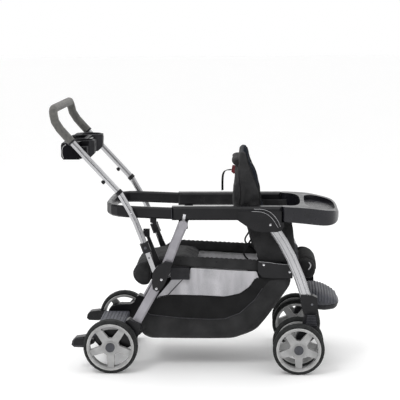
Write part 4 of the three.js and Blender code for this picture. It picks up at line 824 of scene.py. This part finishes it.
def basket_top(x):
    if x < PAN_START:
        return min(height_at(REAR_EDGE, x), PAN_UNDERSIDE)
    if x <= PAN_END:
        return PAN_UNDERSIDE
    return rail_low(x) + 1 if x < RAIL_END else PLATE_UNDERSIDE


def basket_side(share):
    """How far out the side stands at a share of its height, from the floor's corner to the top."""
    return height_at([(0, FLOOR_HALF), (0.1, 176), (0.3, 179), (0.62, 175.4), (1.0, 173)], share)


REAR_STATIONS = {96.5, 99, 103, 108, 114, 121, 128, 137, 146, 156, 165, 174, 185, 196, 207, 216, 227, 228}
FRONT_STATIONS = {301, 302, 560.5, 562, 575, 589, 606, 620, 634, 648, 662, 676, 691.5}
EVEN_STATIONS = {240 + 12 * k for k in range(5)} | {310 + 10.4 * k for k in range(24)}
# Points up a side: a skirt under the seam, two at the seam, the band over it, the window and the hem's edge
SKIRT_ROWS, SEAM_ROWS, BAND_ROWS, WINDOW_ROWS = 5, 2, 5, 7
SIDE_ROWS = SKIRT_ROWS + SEAM_ROWS + BAND_ROWS + WINDOW_ROWS + 1


def basket_column(x):
    """The heights of the side's points at a place, from the floor's corner to the top."""
    low = height_at(FLOOR_LINE, x) - 4 * min(1, max(0, (x - 100) / 60)) * min(1, max(0, (640 - x) / 60))
    top = max(basket_top(x), low + 8)
    seam = min(max(height_at(SEAM_LINE, x), low + 2), top - 1.5)
    window_low, window_high = top - 0.8, top - 0.4
    if WINDOW_START <= x <= WINDOW_END:
        window_low = min(max(height_at(WINDOW_LOW, x), seam + 1), window_low)
    if WINDOW_START <= x < WINDOW_SLANT:
        window_high = min(window_high, 278 + (x - WINDOW_START) * 1.55)
    window_high = max(window_high, window_low + 0.3)
    band = seam + min(1.2, (window_low - seam) / 3)
    column = [low + (seam - low) * k / SKIRT_ROWS for k in range(SKIRT_ROWS)] + [seam, band]
    column += [band + (window_low - band) * k / BAND_ROWS for k in range(1, BAND_ROWS + 1)]
    column += [window_low + (window_high - window_low) * k / WINDOW_ROWS for k in range(1, WINDOW_ROWS + 1)]
    return column + [top]


# The gathers at the rear end: where they are deepest, how far they reach and how deep they are
GATHER_PLACE, GATHER_REACH, GATHER_DEPTH = 118, 45, 3


def basket_half(x):
    """The near side's points at a place, gathered toward the rear end."""
    column = basket_column(x)
    low, tall = column[0], column[-1] - column[0]
    pull = 1.0 if x < 160 else 0.35
    side = []
    for z in column:
        share = (z - low) / tall
        y = basket_side(share) if tall > 30 else FLOOR_HALF + 23 * share
        near = max(0.0, 1 - abs(x - GATHER_PLACE) / GATHER_REACH)
        y += math.sin(x / 5.2 + z / 30) * GATHER_DEPTH * near
        y += noise.fractal(Vector((x / 55, z / 38, 3.1)), 0.9, 2, 3) * 2.4 * (0.5 + pull) * min(1, share * 6)
        y += noise.noise(Vector((x / 13, z / 60, 8.1))) * 1.1 * math.exp(-(share / 0.12) ** 2)
        side.append((x, min(y, 180.5), z))
    return side


vertices, kinds = [], []
stations = sorted(REAR_STATIONS | EVEN_STATIONS | FRONT_STATIONS)
for x in stations:
    side = basket_half(x)
    floor_points = []
    for y in range(FLOOR_HALF - 30, -FLOOR_HALF, -30):
        sag = 1.2 * noise.noise(Vector((x / 60, y / 60, 1)))
        floor_points.append((x, y, side[0][2] + max(0.0, sag)))
    vertices += side[::-1] + floor_points + [(x, -y, z) for x, y, z in side]
across = len(vertices) // len(stations)
for s in range(len(stations) - 1):
    middle = (stations[s] + stations[s + 1]) / 2
    for k in range(across - 1):
        row = min(k, across - 2 - k)
        meshed = 1 <= row <= WINDOW_ROWS and WINDOW_START <= middle <= WINDOW_END
        kinds.append(2 if row >= SIDE_ROWS - SKIRT_ROWS - 1 else 1 if meshed else 0)
faces = quads(len(stations), across, closed=False)
faces += [tuple(range(across)), tuple(range(len(vertices) - across, len(vertices)))[::-1]]
kinds += [0, 0]
basket = object_from("basket_cloth", vertices, faces, [FABRIC, MESH, PANEL], None, 70)
for polygon, kind in zip(basket.data.polygons, kinds):
    polygon.material_index = kind
cloth = basket.modifiers.new("Cloth", "SOLIDIFY")
cloth.thickness = 0.0022
cloth.offset = -1
subdivided(basket)
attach(basket, "front_frame")
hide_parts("basket")


def basket_trim(name, line, side, lift, radius, material):
    """A thin tube along a line of (x, z) on the basket's side, standing just proud of the cloth."""
    path = []
    for x, z in line:
        low = height_at(FLOOR_LINE, x)
        share = min(max((z - low) / max(basket_top(x) - low, 30), 0), 1)
        path.append((x, side * (basket_side(share) + lift), z))
    tube(name, path, radius, material, "front_frame", 8)


for side, name in SIDES:
    seam = [(x, height_at(SEAM_LINE, x)) for x in range(124, 588, 8)]
    basket_trim(f"basket_seam_{name}", seam, side, 0.6, 1.7, PIPING)
    hem = [(x, height_at(WINDOW_LOW, x)) for x in range(176, 560, 8)]
    basket_trim(f"window_hem_{name}", hem, side, 0.3, 1.6, FABRIC)
    brace = [(216 + 65 * k / 12, 288 + 69 * k / 12) for k in range(13)]
    basket_trim(f"window_cord_{name}", brace, side, 0.6, 1.5, WEBBING)

# Harness

BACK_FRONT = [(z, back_at(z)[1]) for z in range(447, 851, 8)]
COVER_HEIGHTS = (716, 700, 680, 660, 640, 620, 600, 580, 563)
STITCHED = (3, 6)
SHOULDER_SIDE = 48


def webbing(name, points, width, thickness, across, body, steps=5):
    return ribbon(name, smoothed(points, steps), width, thickness, across, WEBBING, body)


for side, name in SIDES:
    rings = []
    for k, z in enumerate(COVER_HEIGHTS):
        tight = 0.55 if z in (COVER_HEIGHTS[0], COVER_HEIGHTS[-1]) else 1.0
        deep = 5.2 * tight * (0.9 if k in STITCHED else 1.0)
        wide = 18.5 * (0.86 + 0.14 * tight)
        ring = []
        for a in turns(20):
            x = height_at(BACK_FRONT, z) + 6.2 + deep * squared(math.sin(a), 0.7)
            ring.append((x, side * SHOULDER_SIDE + wide * squared(math.cos(a), 0.6), z))
        rings.append(ring)
    cover = lofted(f"shoulder_cover_{name}", rings, PANEL, None, 60)
    subdivided(cover)
    upholstery(cover, "reclining_back", f"shoulder_pad_{name}")
    drop = [(height_at(BACK_FRONT, 566) + 6, side * SHOULDER_SIDE, 566), (583, side * 42, 540),
            (612, side * 28, 513), (640, side * 12, 498)]
    strap = webbing(f"shoulder_strap_{name}", drop, 25, 1.8, (0, 1, 0), None)
    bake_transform(strap)
    belt = [(588, side * 136, 452), (604, side * 110, 466), (624, side * 64, 480), (641, side * 22, 487)]
    webbing(f"waist_strap_{name}", belt, 25, 1.8, (-0.3, 0, 1), "front_frame")
    # A thin strap from the seat back's lower edge to the rail and the plate
    edge = [(547, side * 128, 514), (534, side * 130, 494), (519, side * 133, 470), (509, side * 135, 450),
            (514, side * 138, 432), (545, side * 144, 404)]
    strap = webbing(f"side_strap_{name}", edge, 7, 1.8, (1, 0, 0.25), None)
    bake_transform(strap)
crotch = [(664, 0, 446.5), (655, 0, 450), (648.5, 0, 456)]
webbing("crotch_strap", crotch, 34, 2.2, (0, 1, 0), "front_frame", 4)
turned("buckle_button", [(0, -2), (11, -2), (11, 1.2), (8.5, 2.4), (0, 2.8)], (654.6, 0, 478), (1, 0, 0), RED,
       "front_frame", 28)

# The recline strap, from the tab round to the left armrest: shares of its way back, out and down

STRAP_WAY = Vector((-40, 150, -103))
STRAP_SHARES = ((0.0, 0.0, 0.0), (0.3, 0.1, 0.02), (0.65, 0.3, 0.1), (0.88, 0.55, 0.3), (0.97, 0.8, 0.62),
                (1.0, 1.0, 1.0))
start = Vector((tab_low.x - 0.4, 0, tab_low.z + 15))
route = [start + STRAP_WAY * Vector(shares) for shares in STRAP_SHARES]
loop = webbing("recline_webbing", route, 9, 1.9, (1, 0.1, 0.4), "reclining_back", 6)
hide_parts("recline_strap")

# Child tray: a smooth plan cut to the side's profile, with its recess


def carved(obj, other, operation):
    step = obj.modifiers.new("Carve", "BOOLEAN")
    step.operation = operation
    step.solver = "EXACT"
    step.object = other
    applied(obj)
    bpy.data.objects.remove(other)


def solid(name, outline, low, high, plane, material=None, slope=0.0):
    """A straight prism; slope tips its ends along X."""
    def ring(depth):
        if plane == "xz":
            return [(x, depth, z) for x, z in outline]
        return [(x, y, depth - slope * (x - outline[0][0])) for x, y in outline]
    return lofted(name, [ring(low), ring(high)], material, None)


def rounded(outline, radius, steps=5):
    """A closed outline with each corner turned by a curve that starts up to radius away."""
    result = []
    for k, corner in enumerate(outline):
        here, before, after = Vector(corner), Vector(outline[k - 1]), Vector(outline[(k + 1) % len(outline)])
        first = here + (before - here).normalized() * min(radius, (before - here).length * 0.49)
        second = here + (after - here).normalized() * min(radius, (after - here).length * 0.49)
        for n in range(steps + 1):
            t = n / steps
            p = first * (1 - t) ** 2 + here * 2 * t * (1 - t) + second * t * t
            result.append((p.x, p.y))
    return result


def flipped(half):
    """Shares on the near half of a plan as they follow on the far half."""
    return [(s, 1 - t) for s, t in half[::-1]]


TRAY_START, TRAY_LENGTH, TRAY_LOW, TRAY_HEIGHT, TRAY_HALF = 652.5, 224.6, 559, 77, 203
TRAY_CORNER, TRAY_SIZE = (TRAY_START, -TRAY_HALF), (TRAY_LENGTH, 2 * TRAY_HALF)
RECESS_FLOOR, RECESS_SLOPE = 612, 0.13
TRAY_EDGE = [(0.0, 0.0), (0.39, 0.0), (0.613, 0.012), (0.809, 0.062), (0.933, 0.155), (0.987, 0.303)]
TRAY_INNER = [(0.319, 0.278), (0.265, 0.155), (0.167, 0.106), (0.0, 0.106)]
RECESS_EDGE = [(0.42, 0.17), (0.62, 0.09), (0.8, 0.14), (0.9, 0.24), (0.93, 0.38)]
TRAY_PLAN = TRAY_EDGE + [(1.0, 0.5)] + flipped(TRAY_EDGE) + flipped(TRAY_INNER) + [(0.332, 0.5)] + TRAY_INNER
TRAY_PLAN = boxed(TRAY_PLAN, TRAY_CORNER, TRAY_SIZE)
TRAY_RECESS = boxed(RECESS_EDGE + flipped(RECESS_EDGE) + [(0.4, 0.62), (0.4, 0.38)], TRAY_CORNER, TRAY_SIZE)
TRAY_SIDE = boxed([
    (-0.02, 0.266), (-0.02, 1.0), (0.0, 1.0), (0.479, 0.922), (0.924, 0.688), (0.987, 0.558), (1.0, 0.299),
    (0.951, 0.065), (0.791, 0.0), (0.39, 0.156), (0.0, 0.266),
], (TRAY_START, TRAY_LOW), (TRAY_LENGTH, TRAY_HEIGHT))
tray = solid("tray_shell", rounded(TRAY_PLAN, 30), 540, 660, "xy", TRAY_PAINTED_REFLECTION)
carved(tray, solid("tray_profile", rounded(TRAY_SIDE, 24), -260, 260, "xz"), "INTERSECT")
hollow = solid("tray_hollow", rounded(TRAY_RECESS, 30), RECESS_FLOOR, 700, "xy", None, RECESS_SLOPE)
carved(tray, hollow, "DIFFERENCE")
tray.data.materials.clear()
tray.data.materials.append(TRAY_PAINTED_REFLECTION)
tray.data.shade_smooth()
tray.data.set_sharp_from_angle(angle=math.radians(35))
edged(tray, 4)
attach(tray, "tray")
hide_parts("child_tray")

# Fixings and trim

# The handle tube's axis, the distance of each tube and its outer faces from the middle
TUBE_LINE = [(143.9, 464.0), (121.8, 526.9), (100.0, 583.8), (77.9, 627.2), (41.9, 691.0), (-55.0, 797.8),
             (-150.2, 902.1), (-178.1, 934.0)]
TUBE_SIDE, TUBE_BORE = 215.5, 12.4
ARM_FACE, ELBOW_FACE, PLATE_FACE = 202.9, 206.0, 181.8
# Rivets: x, distance from the middle, z, radius, body and material
RIVETS = {
    "pivot_rivet": (84.9, 227.6, 617.2, 5.2, "handle", CHROME_AND_HIGHLIGHT),
    "bracket_rivet_0": (195.8, 224.3, 358.6, 5.0, "rear_legs", CHROME_AND_HIGHLIGHT),
    "bracket_rivet_1": (176.4, 224.3, 323.6, 5.0, "rear_legs", CHROME_AND_HIGHLIGHT),
    "lock_rivet": (150.5, 222.6, 443, 3.6, "rear_legs", STEEL_AND_SHADE),
    "elbow_rivet": (609.9, 206.2, 567.5, 4.6, "front_frame", CHROME_AND_HIGHLIGHT),
    "plate_rivet_0": (585.1, 182.7, 409, 5.2, "front_frame", CHROME_AND_HIGHLIGHT),
    "plate_rivet_1": (684, 182.7, 381, 5.2, "front_frame", CHROME_AND_HIGHLIGHT),
    "socket_rivet": (768, 213.6, 262, 4.4, "front_frame", STEEL_AND_SHADE),
}
ELBOW_ARC = [(548, 628), (580, 627), (606, 618), (625, 602), (639, 582)]
LATCH_FOOT, LATCH_WAY = (143.9, 464.0), Vector((-0.3316, 0, 0.9434))
# Wheels: x and y of the middle, radius and width of the tyre
WHEELS = {"rear": (0, 245, 104, 40), "front_outer": (717, 253, 98, 34), "front_inner": (717, 147, 98, 34)}


def on_tube(z):
    """The place of the handle tube's axis at a height, and the way it runs there."""
    (x0, z0), (x1, z1) = next(span for span in zip(TUBE_LINE, TUBE_LINE[1:]) if z <= span[1][1])
    share = (z - z0) / (z1 - z0)
    return x0 + share * (x1 - x0), Vector((x1 - x0, 0, z1 - z0)).normalized()


def band(name, z, side, radius, length, material, bore=TUBE_BORE):
    """A collar round the handle tube with eased edges."""
    x, way = on_tube(z)
    half = length / 2
    ease = 0.8
    profile = [(bore, -half), (radius - ease, -half), (radius, ease - half), (radius, half - ease),
               (radius - ease, half), (bore, half)]
    turned(name, profile, (x, side * TUBE_SIDE, z), way, material, "handle", 28)


def line_on(name, points, side, depth, radius, material, body="front_frame"):
    tube(name, smoothed([(x, side * depth, z) for x, z in points], 4), radius, material, body, 8)


def hoop(name, centre, radius, thickness, material, body, steps=60):
    """A thin ring that stands in a wheel's plane."""
    x, y, z = centre
    path = [(x + radius * math.cos(a), y, z + radius * math.sin(a)) for a in turns(steps)]
    tube(name, path, thickness, material, body, 8, True)


def latch_place(y, along_tube):
    return Vector((LATCH_FOOT[0], y, LATCH_FOOT[1])) + LATCH_WAY * along_tube


def dress_handle(side, name):
    band(f"clip_{name}", 693.3, side, 14.2, 15, BLACK)
    band(f"grip_collar_{name}", 885, side, 16.9, 7, MATTE, 12.6)
    knob_z = 744.5 if side < 0 else 737.6
    x, way = on_tube(knob_z)
    turned(f"knob_{name}", [(0, 8), (5.5, 8), (5.5, 13), (7.6, 14), (8, 19), (6.6, 22.5), (0, 23.5)],
           (x, side * TUBE_SIDE, knob_z), (-way.z, 0, way.x), BLACK, "handle", 24)
    sleeve = f"latch_sleeve_{name}"
    for number, step in enumerate((2.5, 37.5)):
        turned(f"latch_ring_{number}_{name}", [(13.2, -2), (17.2, -2), (18, 0), (17.2, 2), (13.2, 2)],
               latch_place(side * TUBE_SIDE, step), LATCH_WAY, MATTE, sleeve, 32)
    rivet(f"latch_button_{name}", latch_place(side * 231.0, 20), (0, side, 0), 5.6, sleeve, CAP_AND_HIGHLIGHT, 2.2)
    well = [(36.2, -1.6), (36.6, 0.9), (38.6, 1.7), (40.6, 0.9), (40.9, -0.8), (39, -1.8)]
    turned(f"well_rim_{name}", well, (-105.5, side * 118, 882.8), (0, 0, 1), MATTE, "handle", 48)


def dress_frame(side, name):
    for title, (x, y, z, radius, body, material) in RIVETS.items():
        rivet(f"{title}_{name}", (x, side * y, z), (0, side, 0), radius, body, material)
    tab = [(276, 583), (287, 583), (291, 607), (281, 609)]
    block(f"leg_tab_{name}", tab, side * 203.1, side * 204.9, CHROME_AND_HIGHLIGHT, "front_frame", 0.5)
    line_on(f"arm_seam_{name}", [(237, 589), (237, 631)], side, ARM_FACE, 0.9, CAP_AND_HIGHLIGHT)
    line_on(f"tray_seam_{name}", [(652, 588), (652, 633)], side, ARM_FACE, 1.1, GLOSS)
    # The two pale lines across each elbow are painted highlights on the ridges of the leg's fairing
    for number, shift in enumerate((0, 9)):
        arc = [(x - shift, z - shift) for x, z in ELBOW_ARC] + [(648 - shift, 561 - shift * 0.4)]
        line_on(f"elbow_line_{number}_{name}", arc, side, ELBOW_FACE, 0.8, PALE)
    plate_top = [(566, 421), (600, 418), (640, 413), (682, 408.5)]
    line_on(f"plate_edge_{name}", plate_top, side, PLATE_FACE, 1.1, PALE)


def dress_wheels(side, name):
    for wheel, (x, middle, radius, width) in WHEELS.items():
        body = f"rear_wheel_{name}" if wheel == "rear" else f"{wheel.replace('front', 'front_wheel')}_{name}"
        for face, where in ((-1, "in"), (1, "out")):
            # The lip rings are lighter than the rim: painted highlight on each rolled lip
            rim = (x, side * (middle + face * (width / 2 - 0.4)), radius)
            hoop(f"{wheel}_lip_{where}_{name}", rim, radius - 15.5, 2.3, LIP_PAINTED_HIGHLIGHT, body)
            # The tread rings are lighter than the tyre: painted highlight along the tread
            tread = (x, side * (middle + face * width / 5), radius)
            hoop(f"{wheel}_tread_{where}_{name}", tread, radius - 1.5, 1.7, TREAD_PAINTED_HIGHLIGHT, body, 72)
        window = (x, side * (middle + width / 2 - 4.7), radius)
        hoop(f"{wheel}_window_ring_{name}", window, radius - 23.5, 1.6, RIM_AND_HIGHLIGHT, body)


def dress_caster(side, name):
    fork_low, fork_high = corners_of(f"caster_fork_{name}")
    face = max(fork_high.y, -fork_low.y)
    body = f"caster_{name}"
    for number, z in enumerate(range(186, 224, 6)):
        half = 21 - number * 1.2
        rib = [(764 - half, z), (766 + half, z), (766 + half, z + 2.6), (764 - half, z + 2.6)]
        block(f"caster_rib_{number}_{name}", rib, side * (face - 1), side * (face + 1.4), CAP_AND_HIGHLIGHT, body, 0.6)
    collar = [(8, -4.2), (19, -4.2), (20, -3), (20, -0.6), (18.8, 0.2), (8, 0.2)]
    turned(f"swivel_collar_{name}", collar, (762, side * 200, 223), (0, 0, 1), BLACK, body, 36)
    toe, heel = corners_of(f"brake_pedal_{name}")
    low, high = toe.z, heel.z
    # The pedal's lighter outline is a painted highlight on the rounded edge of its recess
    tread = [(46, low + 7), (10, low + 7), (6, low + 12), (10, high - 13), (20, high - 7), (46, high - 6)]
    line_on(f"pedal_line_{name}", [(toe.x + x, z) for x, z in tread], side, 224.2, 1.2, CAP_AND_HIGHLIGHT, f"pedal_{name}")


for side, name in SIDES:
    dress_handle(side, name)
    dress_frame(side, name)
    dress_wheels(side, name)
    dress_caster(side, name)

# The organizer: a rim round its box, a pouch in the middle and a light line at the near end, which is a
# painted highlight

RIM_Z = 883.2
box_rim = rounded([(-172.5, -60), (-172.5, 60), (-109.5, 60), (-109.5, -60)], 6, 4)
box_rim = [(x, y, RIM_Z) for x, y in box_rim]
tube("box_rim", box_rim, 1.8, MATTE, "handle", 8, True)

# It shines on its near end and its rear face, and is dull elsewhere
NEAR_END, FRONT_EDGE = 62, -84
organizer = nodes["parent_organizer"].data
organizer.materials.append(MATTE)
for polygon in organizer.polygons:
    place = millimetres(polygon.center)
    near_end = place.y < NEAR_END and place.x < FRONT_EDGE and polygon.normal.z < 0.5
    polygon.material_index = 0 if near_end or polygon.normal.x < -0.7 else 1

POUCH = rounded([(-126, 824), (-96, 824), (-84, 838), (-82, 860), (-86, 878), (-126, 878)], 10, 4)
POUCH_MIDDLE, POUCH_HALF = (-120, 852), 92
pouch_rings = []
for number in range(17):
    across = -1 + number / 8
    size = (1 - across ** 6) ** 0.35 * 0.5 + 0.5
    section = grown(POUCH, POUCH_MIDDLE, size, 0.75 + 0.25 * size)
    pouch_rings.append([(x, across * POUCH_HALF, z) for x, z in section])
lofted("organizer_pouch", pouch_rings, GLOSS, "handle", 50)
# A light line down the rear edge of the near end: painted highlight
trim = [(-160, 874), (-171, 866), (-176, 850), (-175, 836), (-170, 822)]
line_on("organizer_highlight_line", trim, -1, 197.6, 1.5, RIM_AND_HIGHLIGHT, "handle")

# Lines along the front legs and the handle tubes that paint the light and shade of their grooved faces: a
# chrome line is a painted highlight, steel lines are painted shade

LEG_TOP, LEG_START, LEG_REACH, LEG_FACE = 590, 600, 157, 202.8
leg_foot = corners_of("front_leg_right")[0].z + 6
LEG_ROUTE = boxed([
    (0.0, 1.0), (0.146, 0.891), (0.369, 0.732), (0.567, 0.556), (0.758, 0.344), (0.911, 0.132), (1.0, 0.0),
], (LEG_START, leg_foot), (LEG_REACH, LEG_TOP - leg_foot))
UPPER_TUBE = [(on_tube(z)[0], z) for z in range(500, 851, 25)]
# Painted groove lines: shift from the line, radius and material, where chrome paints a highlight and steel
# paints shade; on the tubes the distance from the middle comes second
LEG_GROOVE_LIGHT_AND_SHADE = ((-9, 1.0, CHROME_AND_HIGHLIGHT), (-6, 0.9, STEEL_AND_SHADE), (9.5, 0.8, STEEL_AND_SHADE))
TUBE_GROOVE_LIGHT_AND_SHADE = ((4.6, 227.0, CHROME_AND_HIGHLIGHT), (1.2, 227.9, STEEL_AND_SHADE))


def beside(line, shift):
    """A line of (x, z) moved sideways by a distance."""
    path = [Vector((x, 0, z)) for x, z in line]
    return [(p.x + way.z * shift, p.z - way.x * shift) for p, way in zip(path, along(path))]


for side, name in SIDES:
    for number, (shift, radius, material) in enumerate(LEG_GROOVE_LIGHT_AND_SHADE):
        line_on(f"leg_groove_{number}_{name}", beside(LEG_ROUTE, shift), side, LEG_FACE, radius, material)
    for number, (shift, depth, material) in enumerate(TUBE_GROOVE_LIGHT_AND_SHADE):
        groove = beside(UPPER_TUBE, shift)
        line_on(f"tube_groove_{number}_{name}", groove, side, depth, 0.9, material, "handle")

# Footrest with its rim and ribs, platform grip strips

STEP_START, STEP_LENGTH, STEP_LOW, STEP_HEIGHT, STEP_HALF = 757, 120, 207, 82, 125
STEP_TOP = [(0.0, 1.0), (0.277, 1.0), (0.45, 0.93), (0.597, 0.845), (0.75, 0.73), (0.882, 0.6), (0.965, 0.46),
            (1.0, 0.354)]
STEP_BOTTOM = [(0.0, 0.183), (0.109, 0.061), (0.529, 0.0), (0.849, 0.049), (0.966, 0.159), (1.0, 0.354)]
STEP_PLAN = [(0.0, 0.976), (0.358, 1.0), (0.55, 0.975), (0.708, 0.92), (0.83, 0.83), (0.908, 0.72),
             (0.96, 0.56), (0.985, 0.4), (1.0, 0.14)]
RIM_HEIGHT = 234


def step_ring(share, lift=0.0, count=48):
    """The footrest's section across its width at a share of its length."""
    top, bottom = (STEP_LOW + STEP_HEIGHT * height_at(line, share) for line in (STEP_TOP, STEP_BOTTOM))
    half = STEP_HALF * height_at(STEP_PLAN, share) + lift
    middle, tall = (top + bottom) / 2, (top - bottom) / 2 + lift
    x = STEP_START + STEP_LENGTH * share
    return [(x, half * squared(math.cos(a), 0.42), middle + tall * squared(math.sin(a), 0.72))
            for a in turns(count)]


stations = [0.004] + [k / 30 for k in range(1, 27)] + [0.9, 0.93, 0.955, 0.975, 0.99, 0.998]
step = lofted("footrest_shell", [step_ring(share) for share in stations], [MATTE, CAP_AND_HIGHLIGHT], None, 60)
for polygon in step.data.polygons:
    if polygon.center.z * 1000 > RIM_HEIGHT + 1:
        polygon.material_index = 1
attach(step, "front_frame")
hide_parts("footrest")
rim = [(STEP_START + STEP_LENGTH * share, STEP_HALF * height_at(STEP_PLAN, share)) for share in stations[1:]]
rim = [(x, -y, RIM_HEIGHT) for x, y in rim] + [(x, y, RIM_HEIGHT) for x, y in rim[::-1]]
tube("footrest_rim", smoothed(rim, 2), 2.6, BLACK, "front_frame", 10)
for number in range(10):
    ridge = [p for p in step_ring(0.08 + 0.092 * number, -2.6, 96)[1:48] if p[2] > RIM_HEIGHT + 5]
    tube(f"footrest_rib_{number}", ridge, 4.5, GREY_PLASTIC, "front_frame", 12)

PLATFORM_TOP, STRIP_START, STRIP_PITCH = 136.9, -70, 14.5
for number in range(7):
    strip = [(STRIP_START + number * STRIP_PITCH, y, PLATFORM_TOP) for y in range(-172, 173, 8)]
    tube(f"platform_rib_{number}", strip, 1.9, CAP_AND_HIGHLIGHT, "rear_legs", 8)
